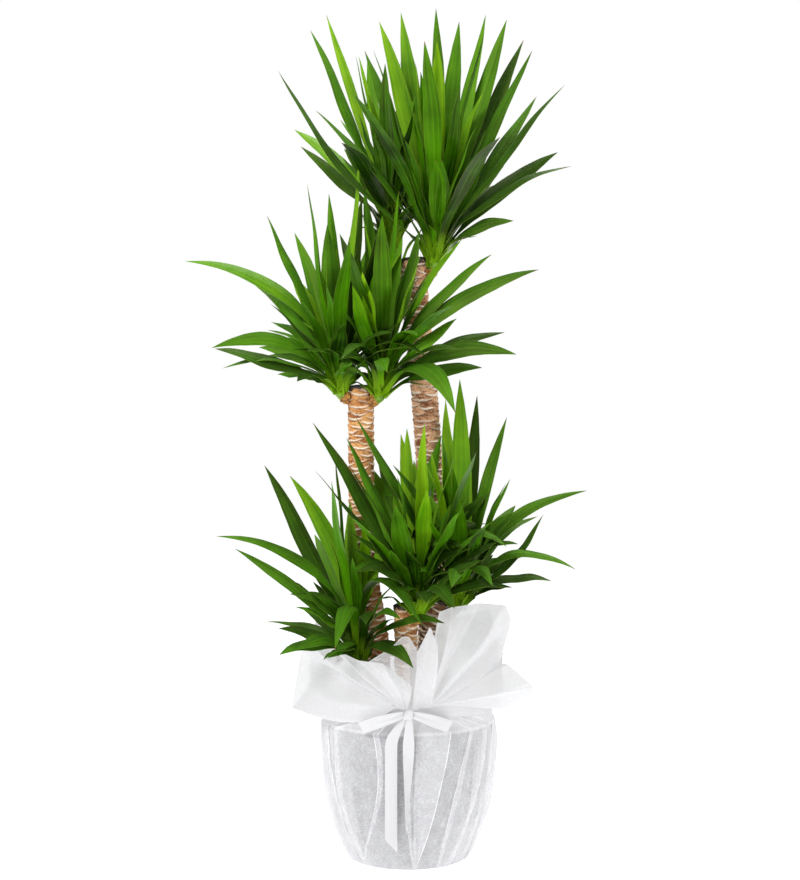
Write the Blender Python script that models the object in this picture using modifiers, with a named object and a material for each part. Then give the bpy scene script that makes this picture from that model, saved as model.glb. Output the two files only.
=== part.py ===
"""Potted yucca: four rooted canes with leafy shoots, in a pot wrapped in fleece and tied with a ribbon.

Run with: blender --background --python part.py
Metres, +Z up. The origin is on the floor, on the pot's axis. The front of the plant faces -Y.
"""

import math
import random
from collections import namedtuple

import bmesh
import bpy
from mathutils import Matrix, Vector
from mathutils.bvhtree import BVHTree

# ---- driving dimensions -------------------------------------------------------------------

GAP = 0.0003  # clearance between touching pieces
SLIVER = 0.00002  # shorter edges are dissolved after a union

POT_HEIGHT = 0.230
POT_BASE_RADIUS = 0.105
POT_RIM_RADIUS = 0.150
POT_CURVE = 2.7  # how quickly the side swells above the base
POT_WALL = 0.003
POT_STEPS = 28

SOIL_TOP = 0.204
SOIL_MOUND = 0.008
CANE_DEPTH = 0.10  # height of the canes' buried ends above the floor

FLEECE_THICKNESS = 0.0015
FLEECE_STAND_OFF = 0.0035  # from the pot's side to the fleece's outer face
FLEECE_TURNS = 40
TIE_RADIUS = 0.1465  # of the fleece's outer face under the ribbon
TIE_BACK = 0.250  # height of the ribbon's middle at the back
TIE_LIFT = 0.022  # the bow holds the ribbon this much higher at the front

RIBBON_WIDTH = 0.020
RIBBON_THICKNESS = 0.001
BOW_FRONT = -0.166  # Y of the knot's middle

WAX_WALL = 0.0015
WAX_SIDES = 12
WAX_SKIRT = 0.007
CANE_SIDES = 3  # bevel resolution: 10 sides

SLEEVE_WALL = 0.0025
SHEATH_SIDES = 10
TIER_STEP = 0.018  # height of one tier's sheath on the shoot
BUD_HEIGHT = 0.028
LEAF_THICKNESS = 0.0022
LEAF_FOOT_WIDTH = 0.0065
LEAF_STATIONS = (0.0, 0.12, 0.42, 0.76)
TIERS = ("outer", "middle", "inner")

# The collar's edge: degrees round the pot, radius, height.
COLLAR = (
    (0, 0.200, 0.300), (20, 0.190, 0.350), (38, 0.200, 0.418), (64, 0.180, 0.395),
    (105, 0.168, 0.335), (138, 0.200, 0.395), (160, 0.178, 0.335), (182, 0.200, 0.330),
    (200, 0.203, 0.262), (222, 0.172, 0.300), (245, 0.168, 0.350), (262, 0.152, 0.320),
    (270, 0.150, 0.300), (285, 0.152, 0.412), (298, 0.160, 0.325), (310, 0.165, 0.288),
    (335, 0.190, 0.298), (350, 0.220, 0.284),
)

Cane = namedtuple("Cane", "radius path colour")
CANES = {
    "tall": Cane(0.0235, ((0.038, 0.045, CANE_DEPTH), (0.041, 0.045, 0.36), (0.042, 0.045, 0.50),
                          (0.038, 0.040, 0.66), (0.029, 0.032, 0.80), (0.015, 0.024, 0.94),
                          (0.010, 0.020, 1.033)), (0.30, 0.15, 0.07)),
    "medium": Cane(0.0225, ((-0.050, 0.012, CANE_DEPTH), (-0.054, 0.010, 0.34), (-0.068, 0.006, 0.44),
                            (-0.080, 0.002, 0.56), (-0.082, 0.000, 0.808)), (0.50, 0.27, 0.11)),
    "short_front": Cane(0.0197, ((-0.004, -0.056, CANE_DEPTH), (-0.004, -0.056, 0.30),
                                 (-0.004, -0.055, 0.435)), (0.48, 0.25, 0.10)),
    "short_right": Cane(0.0200, ((0.014, -0.008, CANE_DEPTH), (0.026, -0.012, 0.28),
                                 (0.052, -0.018, 0.440)), (0.38, 0.19, 0.08)),
}

Leaf = namedtuple("Leaf", "bearing rise length bow width turn tier share", defaults=(0, 0.0))
Crown = namedtuple("Crown", "cane start foot lean girth longest count phase signature")


def hand(bearing, rise, length_cm, bow=0.03, width_mm=30, turn=55):
    """One leaf set by hand: its compass turn, its tip's angle above level from the crown's foot,
    how far the tip is from there in centimetres, and how much it arches."""
    return Leaf(bearing, rise, length_cm / 100, bow, width_mm / 1000, turn)


# Every crown: its cane, where its shoot leaves the cane (turn, height), where its leaves begin,
# how the shoot leans, the shoot's radius, its longest leaf, how many leaves grow by the rule
# below, the spiral's first turn, and the leaves that give the crown its outline.
CROWNS = {
    "tall_right": Crown("tall", (345, 1.008), (0.047, 0.007, 1.040), (0.10, -0.03, 1), 0.0090,
                        0.40, 12, 20, (
        hand(160, 76, 43), hand(125, 77, 46, 0), hand(275, 86, 37, 0), hand(60, 78, 44, 0),
        hand(5, 78, 43, 0, 28), hand(350, 73, 43, 0, 28), hand(15, 67, 42, 0.01),
        hand(312, 70, 38, 0.02), hand(340, 50, 36, 0.04, 31, 50), hand(10, 40, 29, 0.04),
        hand(338, 29, 28, 0.11, 29, 50), hand(42, 44, 26, 0.05), hand(218, 68, 36, 0.02, 27, 30),
        hand(178, 71, 38, 0.01), hand(262, 72, 31, 0.03), hand(192, 48, 41, -0.04, 23, 50),
        hand(204, 46, 32, 0.05, 25, 50), hand(8, 57, 34, 0.02), hand(345, 20, 15, 0.10, 22),
        hand(85, 82, 44, 0), hand(300, 56, 24, 0.06, 24), hand(340, 62, 38, 0.02))),
    "tall_left": Crown("tall", (150, 1.000), (-0.030, 0.050, 1.095), (-0.12, 0.06, 1), 0.0080,
                       0.33, 8, 100, (
        hand(192, 67, 37, 0.02, 29, 40), hand(150, 71, 42, 0, 16), hand(222, 70, 30, 0.02),
        hand(115, 72, 34, 0, 22), hand(172, 42, 22, 0.02, 20, 60), hand(60, 76, 30, 0.02))),
    "medium_left": Crown("medium", (200, 0.788), (-0.119, -0.012, 0.808), (-0.14, -0.05, 1), 0.0085,
                         0.33, 9, 100, (
        hand(186, 39, 34, 0.14, 27, 55), hand(186, 67, 32, 0.01, 28, 40), hand(150, 68, 30, 0.02, 23),
        hand(218, 79, 35, 0, 29, 20), hand(105, 76, 36, 0, 20, 10), hand(5, 85, 40, 0, 29, 10),
        hand(50, 80, 34, 0, 27), hand(196, 16, 23, 0.16, 25, 55), hand(211, 14, 24, 0.05, 29, 60),
        hand(160, 25, 17, 0.08, 26), hand(228, 2, 13, 0.12, 27), hand(168, 48, 27, 0.09, 27, 50),
        hand(275, 30, 19, 0.08, 24, 10), hand(315, 20, 18, 0.10, 22, 20))),
    "medium_right": Crown("medium", (325, 0.784), (-0.048, -0.021, 0.802), (0.10, -0.06, 1), 0.0090,
                          0.33, 9, 30, (
        hand(115, 79, 37, 0, 28), hand(300, 79, 34, 0.02, 18, 50), hand(335, 76, 28, 0.01),
        hand(350, 50, 30, 0.06, 24, 50), hand(346, 36, 34, 0.11, 30, 55),
        hand(340, 43, 18, 0.05, 25), hand(10, 25, 24, 0.09, 24, 50), hand(343, 13, 25, 0.15, 29, 55),
        hand(317, 18, 20, 0.14, 26, 45), hand(352, 12, 18, 0.05, 28, 50),
        hand(309, -12, 20, 0.27, 31, 45), hand(290, 24, 20, 0.18, 27, 20),
        hand(245, 58, 20, 0.03, 26, 10), hand(230, 38, 17, 0.06, 23, 20),
        hand(200, 84, 30, 0.02, 25, 10))),
    "front_main": Crown("short_front", (310, 0.412), (0.016, -0.084, 0.434), (0.02, -0.06, 1), 0.0080,
                        0.29, 7, 10, (
        hand(172, 60, 36, 0.02, 29, 45), hand(190, 67, 31, 0.02, 25, 40), hand(207, 51, 30, 0.03, 29, 45),
        hand(250, 58, 21, 0.04, 29, 0), hand(105, 77, 31, 0, 25, 0), hand(300, 86, 31, 0, 23, 0),
        hand(320, 65, 29, 0.01, 31, 30), hand(310, 30, 18, 0.08, 29, 45), hand(225, 46, 22, 0.06, 27, 30),
        hand(275, 10, 14, 0.14, 24, 0), hand(335, 48, 20, 0.05, 24, 30))),
    "front_small": Crown("short_front", (70, 0.400), (0.010, -0.014, 0.470), (-0.10, 0.10, 1), 0.0065,
                         0.24, 5, 80, (
        hand(120, 80, 26, 0, 22), hand(160, 62, 24, 0.03, 24), hand(50, 78, 26, 0.01, 22))),
    "right": Crown("short_right", (335, 0.416), (0.087, -0.034, 0.442), (0.06, -0.02, 1), 0.0085,
                   0.32, 8, 140, (
        hand(207, 57, 37, 0.02, 29, 45), hand(110, 80, 35, 0, 25, 0), hand(80, 82, 38, 0, 28, 0),
        hand(70, 73, 37, 0, 23, 0), hand(40, 72, 33, 0, 19, 40), hand(338, 74, 23, 0.01, 27, 30),
        hand(330, 65, 23, 0.02, 29, 40), hand(352, 44, 29, 0.12, 18, 60), hand(310, 30, 16, 0.34, 20, 50),
        hand(340, 45, 21, -0.05, 20, 50), hand(333, 16, 22, 0.22, 18, 50), hand(35, 22, 10, 0.08, 24),
        hand(5, 22, 11, 0.08, 21), hand(268, 62, 20, 0.02, 26, 0), hand(20, 54, 18, 0.06, 26))),
    "low_left": Crown("medium", (232, 0.322), (-0.084, -0.031, 0.340), (-0.06, -0.04, 1), 0.0070,
                      0.31, 5, 200, (
        hand(183, 64, 37, 0.02, 30, 45), hand(158, 67, 34, 0.05, 27, 45), hand(188, 45, 33, 0.15, 24, 55),
        hand(198, 42, 29, 0.06, 18, 60), hand(216, 40, 23, 0.06, 28, 50), hand(192, 22, 15, 0.06, 20, 50),
        hand(226, 12, 15, 0.16, 25, 45), hand(257, 14, 16, 0.42, 27, 10), hand(303, 22, 21, 0.42, 29, 25),
        hand(325, 22, 21, 0.15, 23, 40), hand(309, 2, 16, 0.22, 27, 40), hand(238, 82, 35, 0, 18, 40),
        hand(236, 74, 32, 0.01, 27, 20))),
}

GOLDEN_TURN = 137.5
LEAF_CLEARANCE = 0.0015
CANE_CLEARANCE = 0.004
COLLAR_CLEARANCE = 0.007
SWINGS = (0, 4, -4, 8, -8, 12, -12, 17, -17, 23, -23)
LIFTS = (0, 4, -4, 8, -8, 13)

FLEECE_WHITE = (0.90, 0.90, 0.91)
RIBBON_WHITE = (0.93, 0.93, 0.94)


# ---- small helpers ------------------------------------------------------------------------

def clear_scene():
    for obj in list(bpy.data.objects):
        bpy.data.objects.remove(obj)


def collection(name):
    group = bpy.data.collections.new(name)
    bpy.context.scene.collection.children.link(group)
    return group


def material(name, colour, roughness=0.6):
    mat = bpy.data.materials.new(name)
    mat.use_nodes = True
    shader = mat.node_tree.nodes["Principled BSDF"]
    shader.inputs["Base Color"].default_value = (*colour, 1.0)
    shader.inputs["Roughness"].default_value = roughness
    return mat


def mesh_object(name, points, faces, group, mat=None):
    mesh = bpy.data.meshes.new(name)
    mesh.from_pydata([tuple(p) for p in points], [], faces)
    mesh.update()
    obj = bpy.data.objects.new(name, mesh)
    group.objects.link(obj)
    if mat:
        mesh.materials.append(mat)
    return obj


def turned(name, profile, group, mat, steps=POT_STEPS, ring=False):
    """A profile in the XZ plane, spun round Z: its outer side runs from top to bottom."""
    edges = [(i, i + 1) for i in range(len(profile) - 1)]
    if ring:
        edges.append((len(profile) - 1, 0))
    mesh = bpy.data.meshes.new(name)
    mesh.from_pydata([(r, 0, z) for r, z in profile], edges, [])
    obj = bpy.data.objects.new(name, mesh)
    group.objects.link(obj)
    mesh.materials.append(mat)
    screw = obj.modifiers.new("Turn", "SCREW")
    screw.steps = steps
    screw.render_steps = steps
    screw.use_merge_vertices = True
    screw.merge_threshold = 0.0001
    screw.use_smooth_shade = False
    return obj


def smooth_path(points, per_span):
    """Points on a Catmull-Rom curve through the given ones."""
    knots = [Vector(p) for p in points]
    knots = [2 * knots[0] - knots[1]] + knots + [2 * knots[-1] - knots[-2]]
    path = []
    for a, b, c, d in zip(knots, knots[1:], knots[2:], knots[3:]):
        for step in range(per_span):
            t = step / per_span
            path.append(0.5 * (2 * b + (c - a) * t + (2 * a - 5 * b + 4 * c - d) * t * t
                               + (3 * b - a - 3 * c + d) * t ** 3))
    return path + [knots[-2]]


def tube(name, path, radius, group, mat, resolution=CANE_SIDES):
    curve = bpy.data.curves.new(name, "CURVE")
    curve.dimensions = "3D"
    curve.bevel_depth = radius
    curve.bevel_resolution = resolution
    curve.use_fill_caps = True
    spline = curve.splines.new("POLY")
    spline.points.add(len(path) - 1)
    for point, place in zip(spline.points, path):
        point.co = (*place, 1.0)
    obj = bpy.data.objects.new(name, curve)
    group.objects.link(obj)
    curve.materials.append(mat)
    return obj


def evaluated_mesh(obj):
    bpy.context.view_layer.update()
    depsgraph = bpy.context.evaluated_depsgraph_get()
    return bpy.data.meshes.new_from_object(obj.evaluated_get(depsgraph))


def join_by_union(obj, others, group):
    """Unite the other solids with obj's and remove them."""
    operands = bpy.data.collections.new("operands")
    bpy.context.scene.collection.children.link(operands)
    for other in others:
        group.objects.unlink(other)
        operands.objects.link(other)
    union = obj.modifiers.new("Union", "BOOLEAN")
    union.operation = "UNION"
    union.operand_type = "COLLECTION"
    union.collection = operands
    union.solver = "MANIFOLD"  # EXACT leaves edges that touch where many leaf feet cross
    mesh = evaluated_mesh(obj)
    obj.modifiers.clear()
    obj.data = mesh
    clean_union(mesh)
    for other in others:
        bpy.data.objects.remove(other)
    bpy.data.collections.remove(operands)


def clean_union(mesh):
    """Remove the slivers and small sealed voids that a union can leave where leaf feet cross."""
    work = bmesh.new()
    work.from_mesh(mesh)
    bmesh.ops.triangulate(work, faces=work.faces)
    bmesh.ops.remove_doubles(work, verts=work.verts, dist=SLIVER)
    bmesh.ops.dissolve_degenerate(work, edges=work.edges, dist=SLIVER)
    bmesh.ops.triangulate(work, faces=work.faces)
    shells, left = [], set(work.verts)
    while left:
        shell, front = set(), [left.pop()]
        while front:
            vert = front.pop()
            shell.add(vert)
            for edge in vert.link_edges:
                other = edge.other_vert(vert)
                if other in left:
                    left.remove(other)
                    front.append(other)
        shells.append(shell)
    largest = max(shells, key=len)
    spare = [vert for shell in shells if shell is not largest for vert in shell]
    bmesh.ops.delete(work, geom=spare, context="VERTS")
    work.to_mesh(mesh)
    work.free()


def cut(obj, cutter):
    cutter.hide_render = True
    cutter.display_type = "WIRE"
    difference = obj.modifiers.new("Cut", "BOOLEAN")
    difference.operation = "DIFFERENCE"
    difference.object = cutter


# ---- pot and soil -------------------------------------------------------------------------

def pot_radius(height):
    """The pot's outer radius: narrow at the base, swelling to an almost upright rim."""
    share = min(max(height / POT_HEIGHT, 0.0), 1.0)
    return POT_BASE_RADIUS + (POT_RIM_RADIUS - POT_BASE_RADIUS) * (1 - (1 - share) ** POT_CURVE)


def pot_heights():
    """From the underside, which rests on the fleece, to the rim."""
    floor = FLEECE_THICKNESS + GAP
    return [floor + (POT_HEIGHT - floor) * step / 5 for step in range(6)]


def build_pot(group):
    floor = pot_heights()[0]
    outside = [(pot_radius(z), z) for z in reversed(pot_heights())]
    profile = [(0, floor + POT_WALL), *pot_inside(), *outside, (0, floor)]
    return turned("pot", profile, group, material("pot_plastic", (0.035, 0.035, 0.04), 0.45))


def pot_inside():
    """The inner wall, from the foot up to the rim."""
    heights = pot_heights()
    foot = (POT_BASE_RADIUS - POT_WALL, heights[0] + POT_WALL)
    return [foot] + [(pot_radius(z) - POT_WALL, z) for z in heights[1:]]


def build_soil(group, cutters):
    clear = 3 * GAP
    wall = [(r - clear, z) for r, z in pot_inside()]
    foot = (wall[0][0], wall[0][1] + clear)
    (ra, za), (rb, zb) = wall[-2:]
    brim = (ra + (rb - ra) * (SOIL_TOP - za) / (zb - za), SOIL_TOP)
    profile = [(0, SOIL_TOP + SOIL_MOUND), (0.07, SOIL_TOP + 0.6 * SOIL_MOUND), brim,
               *reversed(wall[1:-1]), foot, (0, foot[1])]
    soil = turned("soil", profile, group, material("soil", (0.045, 0.028, 0.018), 0.95))
    for name, cane in CANES.items():
        path = smooth_path(cane.path, 3)
        path[0] -= Vector((0, 0, GAP))
        curve = tube(f"socket_{name}", path, cane.radius + 0.0005, cutters, soil.active_material)
        socket = mesh_from_curve(curve, cutters)
        cut(soil, socket)
    return soil


def mesh_from_curve(curve, group):
    """A closed mesh in the curve's place, its caps welded on."""
    mesh = evaluated_mesh(curve)
    work = bmesh.new()
    work.from_mesh(mesh)
    bmesh.ops.remove_doubles(work, verts=work.verts, dist=0.00001)
    work.to_mesh(mesh)
    work.free()
    name = curve.name
    place = curve.matrix_world.copy()
    bpy.data.objects.remove(curve)
    obj = bpy.data.objects.new(name, mesh)
    obj.matrix_world = place
    group.objects.link(obj)
    return obj


# ---- fleece and ribbon --------------------------------------------------------------------

def tie_height(degrees):
    return TIE_BACK + TIE_LIFT * ((1 - math.sin(math.radians(degrees))) / 2) ** 2


def collar_edge(degrees):
    """Radius and height of the collar's edge, eased between the points chosen by hand."""
    degrees %= 360
    points = [*COLLAR, (COLLAR[0][0] + 360, *COLLAR[0][1:])]
    for (a, ra, za), (b, rb, zb) in zip(points, points[1:]):
        if a <= degrees <= b:
            t = (degrees - a) / (b - a)
            t = t * t * (3 - 2 * t)
            return ra + (rb - ra) * t, za + (zb - za) * t
    return points[0][1:]


def collar_point(degrees, share):
    """Radius and height on the collar, from the tie (0) to the edge (1)."""
    radius, height = collar_edge(degrees)
    low = tie_height(degrees) + RIBBON_WIDTH / 2 + 0.001
    curl = 0.16 * (radius - TIE_RADIUS) * math.sin(math.pi * share)
    return TIE_RADIUS + (radius - TIE_RADIUS) * share ** 0.85, low + (height - low) * share + curl


def fleece_column(degrees):
    """The fleece's outer face at one turn, from the collar's edge down to the base."""
    tie = tie_height(degrees)
    half = RIBBON_WIDTH / 2 + 0.001
    column = [collar_point(degrees, share) for share in (1.0, 0.66, 0.33, 0.0)]
    column.append((TIE_RADIUS, tie - half))
    for height in reversed(pot_heights()[1:]):
        column.append((pot_radius(height) + FLEECE_STAND_OFF, height))
    column.append((POT_BASE_RADIUS + FLEECE_STAND_OFF + 0.001, 0.0))
    return column


def build_fleece(group):
    columns = [fleece_column(360 * turn / FLEECE_TURNS) for turn in range(FLEECE_TURNS)]
    rows = len(columns[0])
    points = []
    for turn, column in enumerate(columns):
        angle = 2 * math.pi * turn / FLEECE_TURNS
        points += [(r * math.cos(angle), r * math.sin(angle), z) for r, z in column]
    faces = []
    for turn in range(FLEECE_TURNS):
        here, there = turn * rows, (turn + 1) % FLEECE_TURNS * rows
        faces += [(here + row, here + row + 1, there + row + 1, there + row) for row in range(rows - 1)]
    points.append((0, 0, 0))
    for turn in range(FLEECE_TURNS):
        here, there = turn * rows, (turn + 1) % FLEECE_TURNS * rows
        faces.append((here + rows - 1, len(points) - 1, there + rows - 1))
    fleece = mesh_object("fleece_wrap", points, faces, group, material("fleece", FLEECE_WHITE, 0.9))
    solid = fleece.modifiers.new("Thickness", "SOLIDIFY")
    solid.thickness = FLEECE_THICKNESS
    solid.offset = -1
    return fleece


def build_band(group):
    """The ribbon round the gathered fleece, lifted at the front by the bow."""
    turns = FLEECE_TURNS
    points = []
    for turn in range(turns):
        angle = 2 * math.pi * turn / turns
        middle = tie_height(math.degrees(angle))
        for side in (1, -1):
            radius = TIE_RADIUS + GAP + 0.0004
            points.append((radius * math.cos(angle), radius * math.sin(angle),
                           middle + side * RIBBON_WIDTH / 2))
    faces = [(2 * t, 2 * t + 1, 2 * ((t + 1) % turns) + 1, 2 * ((t + 1) % turns)) for t in range(turns)]
    band = mesh_object("ribbon_band", points, faces, group, material("ribbon", RIBBON_WHITE, 0.35))
    solid = band.modifiers.new("Thickness", "SOLIDIFY")
    solid.thickness = RIBBON_THICKNESS
    solid.offset = 1
    return band


def ribbon_strip(name, path, widths, group, side=Vector((1, 0, 0))):
    """A flat ribbon along a path, its width across the given side."""
    points = []
    for place, width in zip(path, widths):
        points += [place - side * width / 2, place + side * width / 2]
    faces = [(2 * i, 2 * i + 2, 2 * i + 3, 2 * i + 1) for i in range(len(path) - 1)]
    strip = mesh_object(name, points, faces, group, material(name, RIBBON_WHITE, 0.35))
    solid = strip.modifiers.new("Thickness", "SOLIDIFY")
    solid.thickness = RIBBON_THICKNESS
    solid.offset = 0
    return strip


def build_loop(name, sign, group):
    """One loop of the bow: a closed teardrop of ribbon, drooping from the knot."""
    length, depth, droop = 0.066, 0.009, 0.026
    count = 18
    points = []
    for i in range(count):
        angle = 2 * math.pi * i / count
        along = 0.5 - 0.5 * math.cos(angle)
        x = sign * (0.011 + length * along)
        y = BOW_FRONT + depth * math.sin(angle)
        drop = tie_height(270) - droop * along ** 1.5
        half = RIBBON_WIDTH / 2 * (0.55 + 0.45 * along)
        points += [(x, y, drop + half), (x, y, drop - half)]
    faces = [(2 * i, 2 * i + 1, 2 * ((i + 1) % count) + 1, 2 * ((i + 1) % count)) for i in range(count)]
    if sign < 0:
        faces = [tuple(reversed(face)) for face in faces]
    loop = mesh_object(name, points, faces, group, material(name, RIBBON_WHITE, 0.35))
    solid = loop.modifiers.new("Thickness", "SOLIDIFY")
    solid.thickness = RIBBON_THICKNESS
    solid.offset = 1
    return loop


def build_bow(group):
    knot = tie_height(270)
    bpy.ops.mesh.primitive_uv_sphere_add(segments=12, ring_count=8, radius=1)
    ball = bpy.context.object
    ball.name = "bow_knot"
    ball.data.transform(Matrix.Diagonal((0.0095, 0.011, 0.012, 1)))
    ball.data.transform(Matrix.Translation((0, BOW_FRONT, knot)))
    ball.data.materials.append(material("bow_knot", RIBBON_WHITE, 0.35))
    for home in list(ball.users_collection):
        home.objects.unlink(ball)
    group.objects.link(ball)
    build_loop("bow_loop_left", -1, group)
    build_loop("bow_loop_right", 1, group)
    left = smooth_path(((-0.009, BOW_FRONT, knot - 0.014), (-0.015, -0.163, 0.20),
                        (-0.022, -0.156, 0.12), (-0.029, -0.142, 0.052)), 3)
    right = smooth_path(((0.009, BOW_FRONT + 0.001, knot - 0.014), (0.009, -0.163, 0.20),
                         (0.005, -0.157, 0.13), (0.001, -0.146, 0.066)), 3)
    ribbon_strip("ribbon_tail_left", left, [0.011] + [RIBBON_WIDTH] * (len(left) - 1), group)
    ribbon_strip("ribbon_tail_right", right,
                 [0.009] + [0.014 - 0.0009 * i for i in range(len(right) - 1)], group)


# ---- canes --------------------------------------------------------------------------------

def cane_point(cane, height):
    """The middle of a cane at a height."""
    path = smooth_path(cane.path, 6)
    for low, high in zip(path, path[1:]):
        if low.z <= height <= high.z:
            return low.lerp(high, (height - low.z) / (high.z - low.z))
    return path[-1]


def build_canes(group):
    for name, cane in CANES.items():
        path = smooth_path(cane.path, 3)
        tube(f"cane_{name}", path, cane.radius, group, material(f"bark_{name}", cane.colour, 0.9))
        build_wax(name, cane, path, group)


def build_wax(name, cane, path, group):
    """The wax that seals a sawn top: a lid with a short skirt, square to the cane."""
    inner = (cane.radius + 0.0010) / math.cos(math.pi / WAX_SIDES)
    outer = inner + WAX_WALL
    profile = [(0, GAP), (inner, GAP), (inner, -WAX_SKIRT), (outer, -WAX_SKIRT * 0.9),
               (outer, 0.0018), (cane.radius * 0.8, 0.0034), (0, 0.0038)]
    profile.reverse()
    wax = turned(f"wax_{name}", profile, group, material(f"wax_{name}", (0.03, 0.02, 0.015), 0.4),
                 WAX_SIDES)
    wax.location = path[-1]
    wax.rotation_mode = "QUATERNION"
    wax.rotation_quaternion = (path[-1] - path[-2]).to_track_quat("Z", "Y")


# ---- shoots -------------------------------------------------------------------------------

def shoot_path(crown):
    """Out of the cane square to its bark, then up and along the crown's axis."""
    cane = CANES[crown.cane]
    turn, height = crown.start
    out = Vector((math.cos(math.radians(turn)), math.sin(math.radians(turn)), 0))
    middle = cane_point(cane, height)
    root = middle + out * (cane.radius + 0.0012)
    foot, axis = Vector(crown.foot), Vector(crown.lean).normalized()
    elbow = root + out * 0.007 + Vector((0, 0, 0.003))
    top = foot + axis * 2 * TIER_STEP
    path = [root, root + out * 0.003]
    path += smooth_path((elbow, foot - axis * 0.012, foot - axis * 0.002), 3)
    return path + [top - axis * GAP]


def build_shoots(group):
    for name, crown in CROWNS.items():
        tube(f"shoot_{name}", shoot_path(crown), crown.girth, group,
             material(f"shoot_{name}", (0.20, 0.36, 0.05), 0.5), 2)


# ---- leaves -------------------------------------------------------------------------------

def direction(bearing, rise):
    b, r = math.radians(bearing), math.radians(rise)
    return Vector((math.cos(r) * math.cos(b), math.cos(r) * math.sin(b), math.sin(r)))


def start_angle(crown, leaf):
    """The angle at which a leaf leaves its shoot, from square to the shoot's axis."""
    begin = leaf.rise + math.degrees(math.atan(4 * leaf.bow))
    axis = Vector(crown.lean).normalized()
    return 90 - math.degrees(direction(leaf.bearing, begin).angle(axis))


def ranked(crown, leaves):
    """Give each leaf its tier and its place in it: the steeper it grows, the higher it starts."""
    order = sorted(leaves, key=lambda leaf: start_angle(crown, leaf))
    places = {leaf: 3 * rank / len(order) for rank, leaf in enumerate(order)}
    return [leaf._replace(tier=int(places[leaf]), share=places[leaf] % 1) for leaf in leaves]


def leaf_foot(crown, leaf):
    """Where a leaf starts: on its tier's sheath, or on the bud."""
    height = leaf.tier * TIER_STEP + 0.003 + 0.009 * leaf.share
    radius = sheath_inner(crown) + 0.0013
    if leaf.tier == 2:
        height = 2 * TIER_STEP + 0.004 + 0.014 * leaf.share
        radius = (crown.girth - 0.001) * (1 - 0.55 * leaf.share)
    out = direction(leaf.bearing, 0)
    return Vector(crown.foot) + Vector(crown.lean).normalized() * height + out * radius


def leaf_width(share):
    """Width along a leaf, as a share of its widest: a narrow foot, a long taper to the tip."""
    if share < 0.45:
        t = share / 0.45
        return 0.46 + 0.54 * math.sin(t * math.pi / 2)
    return max(math.cos(((share - 0.45) / 0.55) ** 1.5 * math.pi / 2), 0.0)


def leaf_frame(crown, leaf, share):
    """Centre, side and upward normal at a share of the leaf's length."""
    foot = leaf_foot(crown, leaf)
    chord = Vector(crown.foot) + direction(leaf.bearing, leaf.rise) * leaf.length - foot
    over = direction(leaf.bearing, leaf.rise + 90)
    lift = over * 2 * leaf.bow * leaf.length
    centre = foot + chord * share + lift * 2 * share * (1 - share)
    along = (chord + lift * 2 * (1 - 2 * share)).normalized()
    side = direction(leaf.bearing + 90, 0)
    up = along.cross(side).normalized()
    front = Vector((0, -1, 0)) - along * Vector((0, -1, 0)).dot(along)
    lean = 1 if front.dot(side) > 0 else -1
    eased = min(share / 0.45, 1)
    angle = -lean * math.radians(leaf.turn) * eased * eased * (3 - 2 * eased) * min(front.length, 1)
    spin = Matrix.Rotation(angle, 3, along)
    return centre, spin @ side, -(spin @ up)


def leaf_mesh(crown, leaf, swell=0.0):
    """A low-polygon leaf: a shallow channel in section, coming to a point."""
    points, faces = [], []
    for share in LEAF_STATIONS:
        centre, side, up = leaf_frame(crown, leaf, share)
        half = leaf_width(share) * leaf.width / 2 + swell
        if share == 0:
            half = LEAF_FOOT_WIDTH / 2 + swell
        channel = half * (0.26 - 0.16 * share)
        thick = LEAF_THICKNESS / 2 + swell
        points += [centre - side * half + up * channel, centre + up * thick,
                   centre + side * half + up * channel, centre - up * thick]
    rings = len(LEAF_STATIONS)
    for ring in range(rings - 1):
        a, b = 4 * ring, 4 * ring + 4
        faces += [(a + k, a + (k + 1) % 4, b + (k + 1) % 4, b + k) for k in range(4)]
    tip, _, _ = leaf_frame(crown, leaf, 1.0)
    points.append(tip)
    last = 4 * (rings - 1)
    faces += [(last + k, last + (k + 1) % 4, len(points) - 1) for k in range(4)]
    faces.append((3, 2, 1, 0))
    return points, faces


def rule_leaves(crown, seed):
    """The leaves that the crown's spiral adds: low and short outside, tall and straight inside."""
    dice = random.Random(seed)
    for order in range(crown.count):
        share = order / max(crown.count - 1, 1)
        yield Leaf(
            bearing=crown.phase + GOLDEN_TURN * order,
            rise=14 + 68 * share ** 0.8 + dice.uniform(-5, 5),
            length=crown.longest * (0.36 + 0.56 * math.sin(math.pi * (0.12 + 0.5 * share))),
            bow=0.10 * (1 - share) ** 1.2 + 0.01,
            width=dice.uniform(0.025, 0.031),
            turn=dice.uniform(10, 50),
        )


Placed = namedtuple("Placed", "crown leaf whole outer low high")


def as_placed(name, leaf):
    crown = CROWNS[name]
    points, faces = leaf_mesh(crown, leaf, LEAF_CLEARANCE)
    beyond = [face for face in faces if min(face) >= 4]
    low = Vector([min(p[k] for p in points) for k in range(3)])
    high = Vector([max(p[k] for p in points) for k in range(3)])
    return Placed(name, leaf, BVHTree.FromPolygons(points, faces),
                  BVHTree.FromPolygons(points, beyond), low, high)


def boxes_meet(a, b):
    return all(a.low[k] <= b.high[k] and b.low[k] <= a.high[k] for k in range(3))


def meets_leaf(new, old):
    if not boxes_meet(new, old):
        return False
    if new.crown == old.crown and new.leaf.tier == old.leaf.tier:
        return bool(new.outer.overlap(old.outer))
    return bool(new.whole.overlap(old.whole))


def distance_to_path(point, path):
    best = 9.0
    for a, b in zip(path, path[1:]):
        span = b - a
        t = min(max((point - a).dot(span) / span.length_squared, 0), 1)
        best = min(best, (point - a - span * t).length)
    return best


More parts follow.
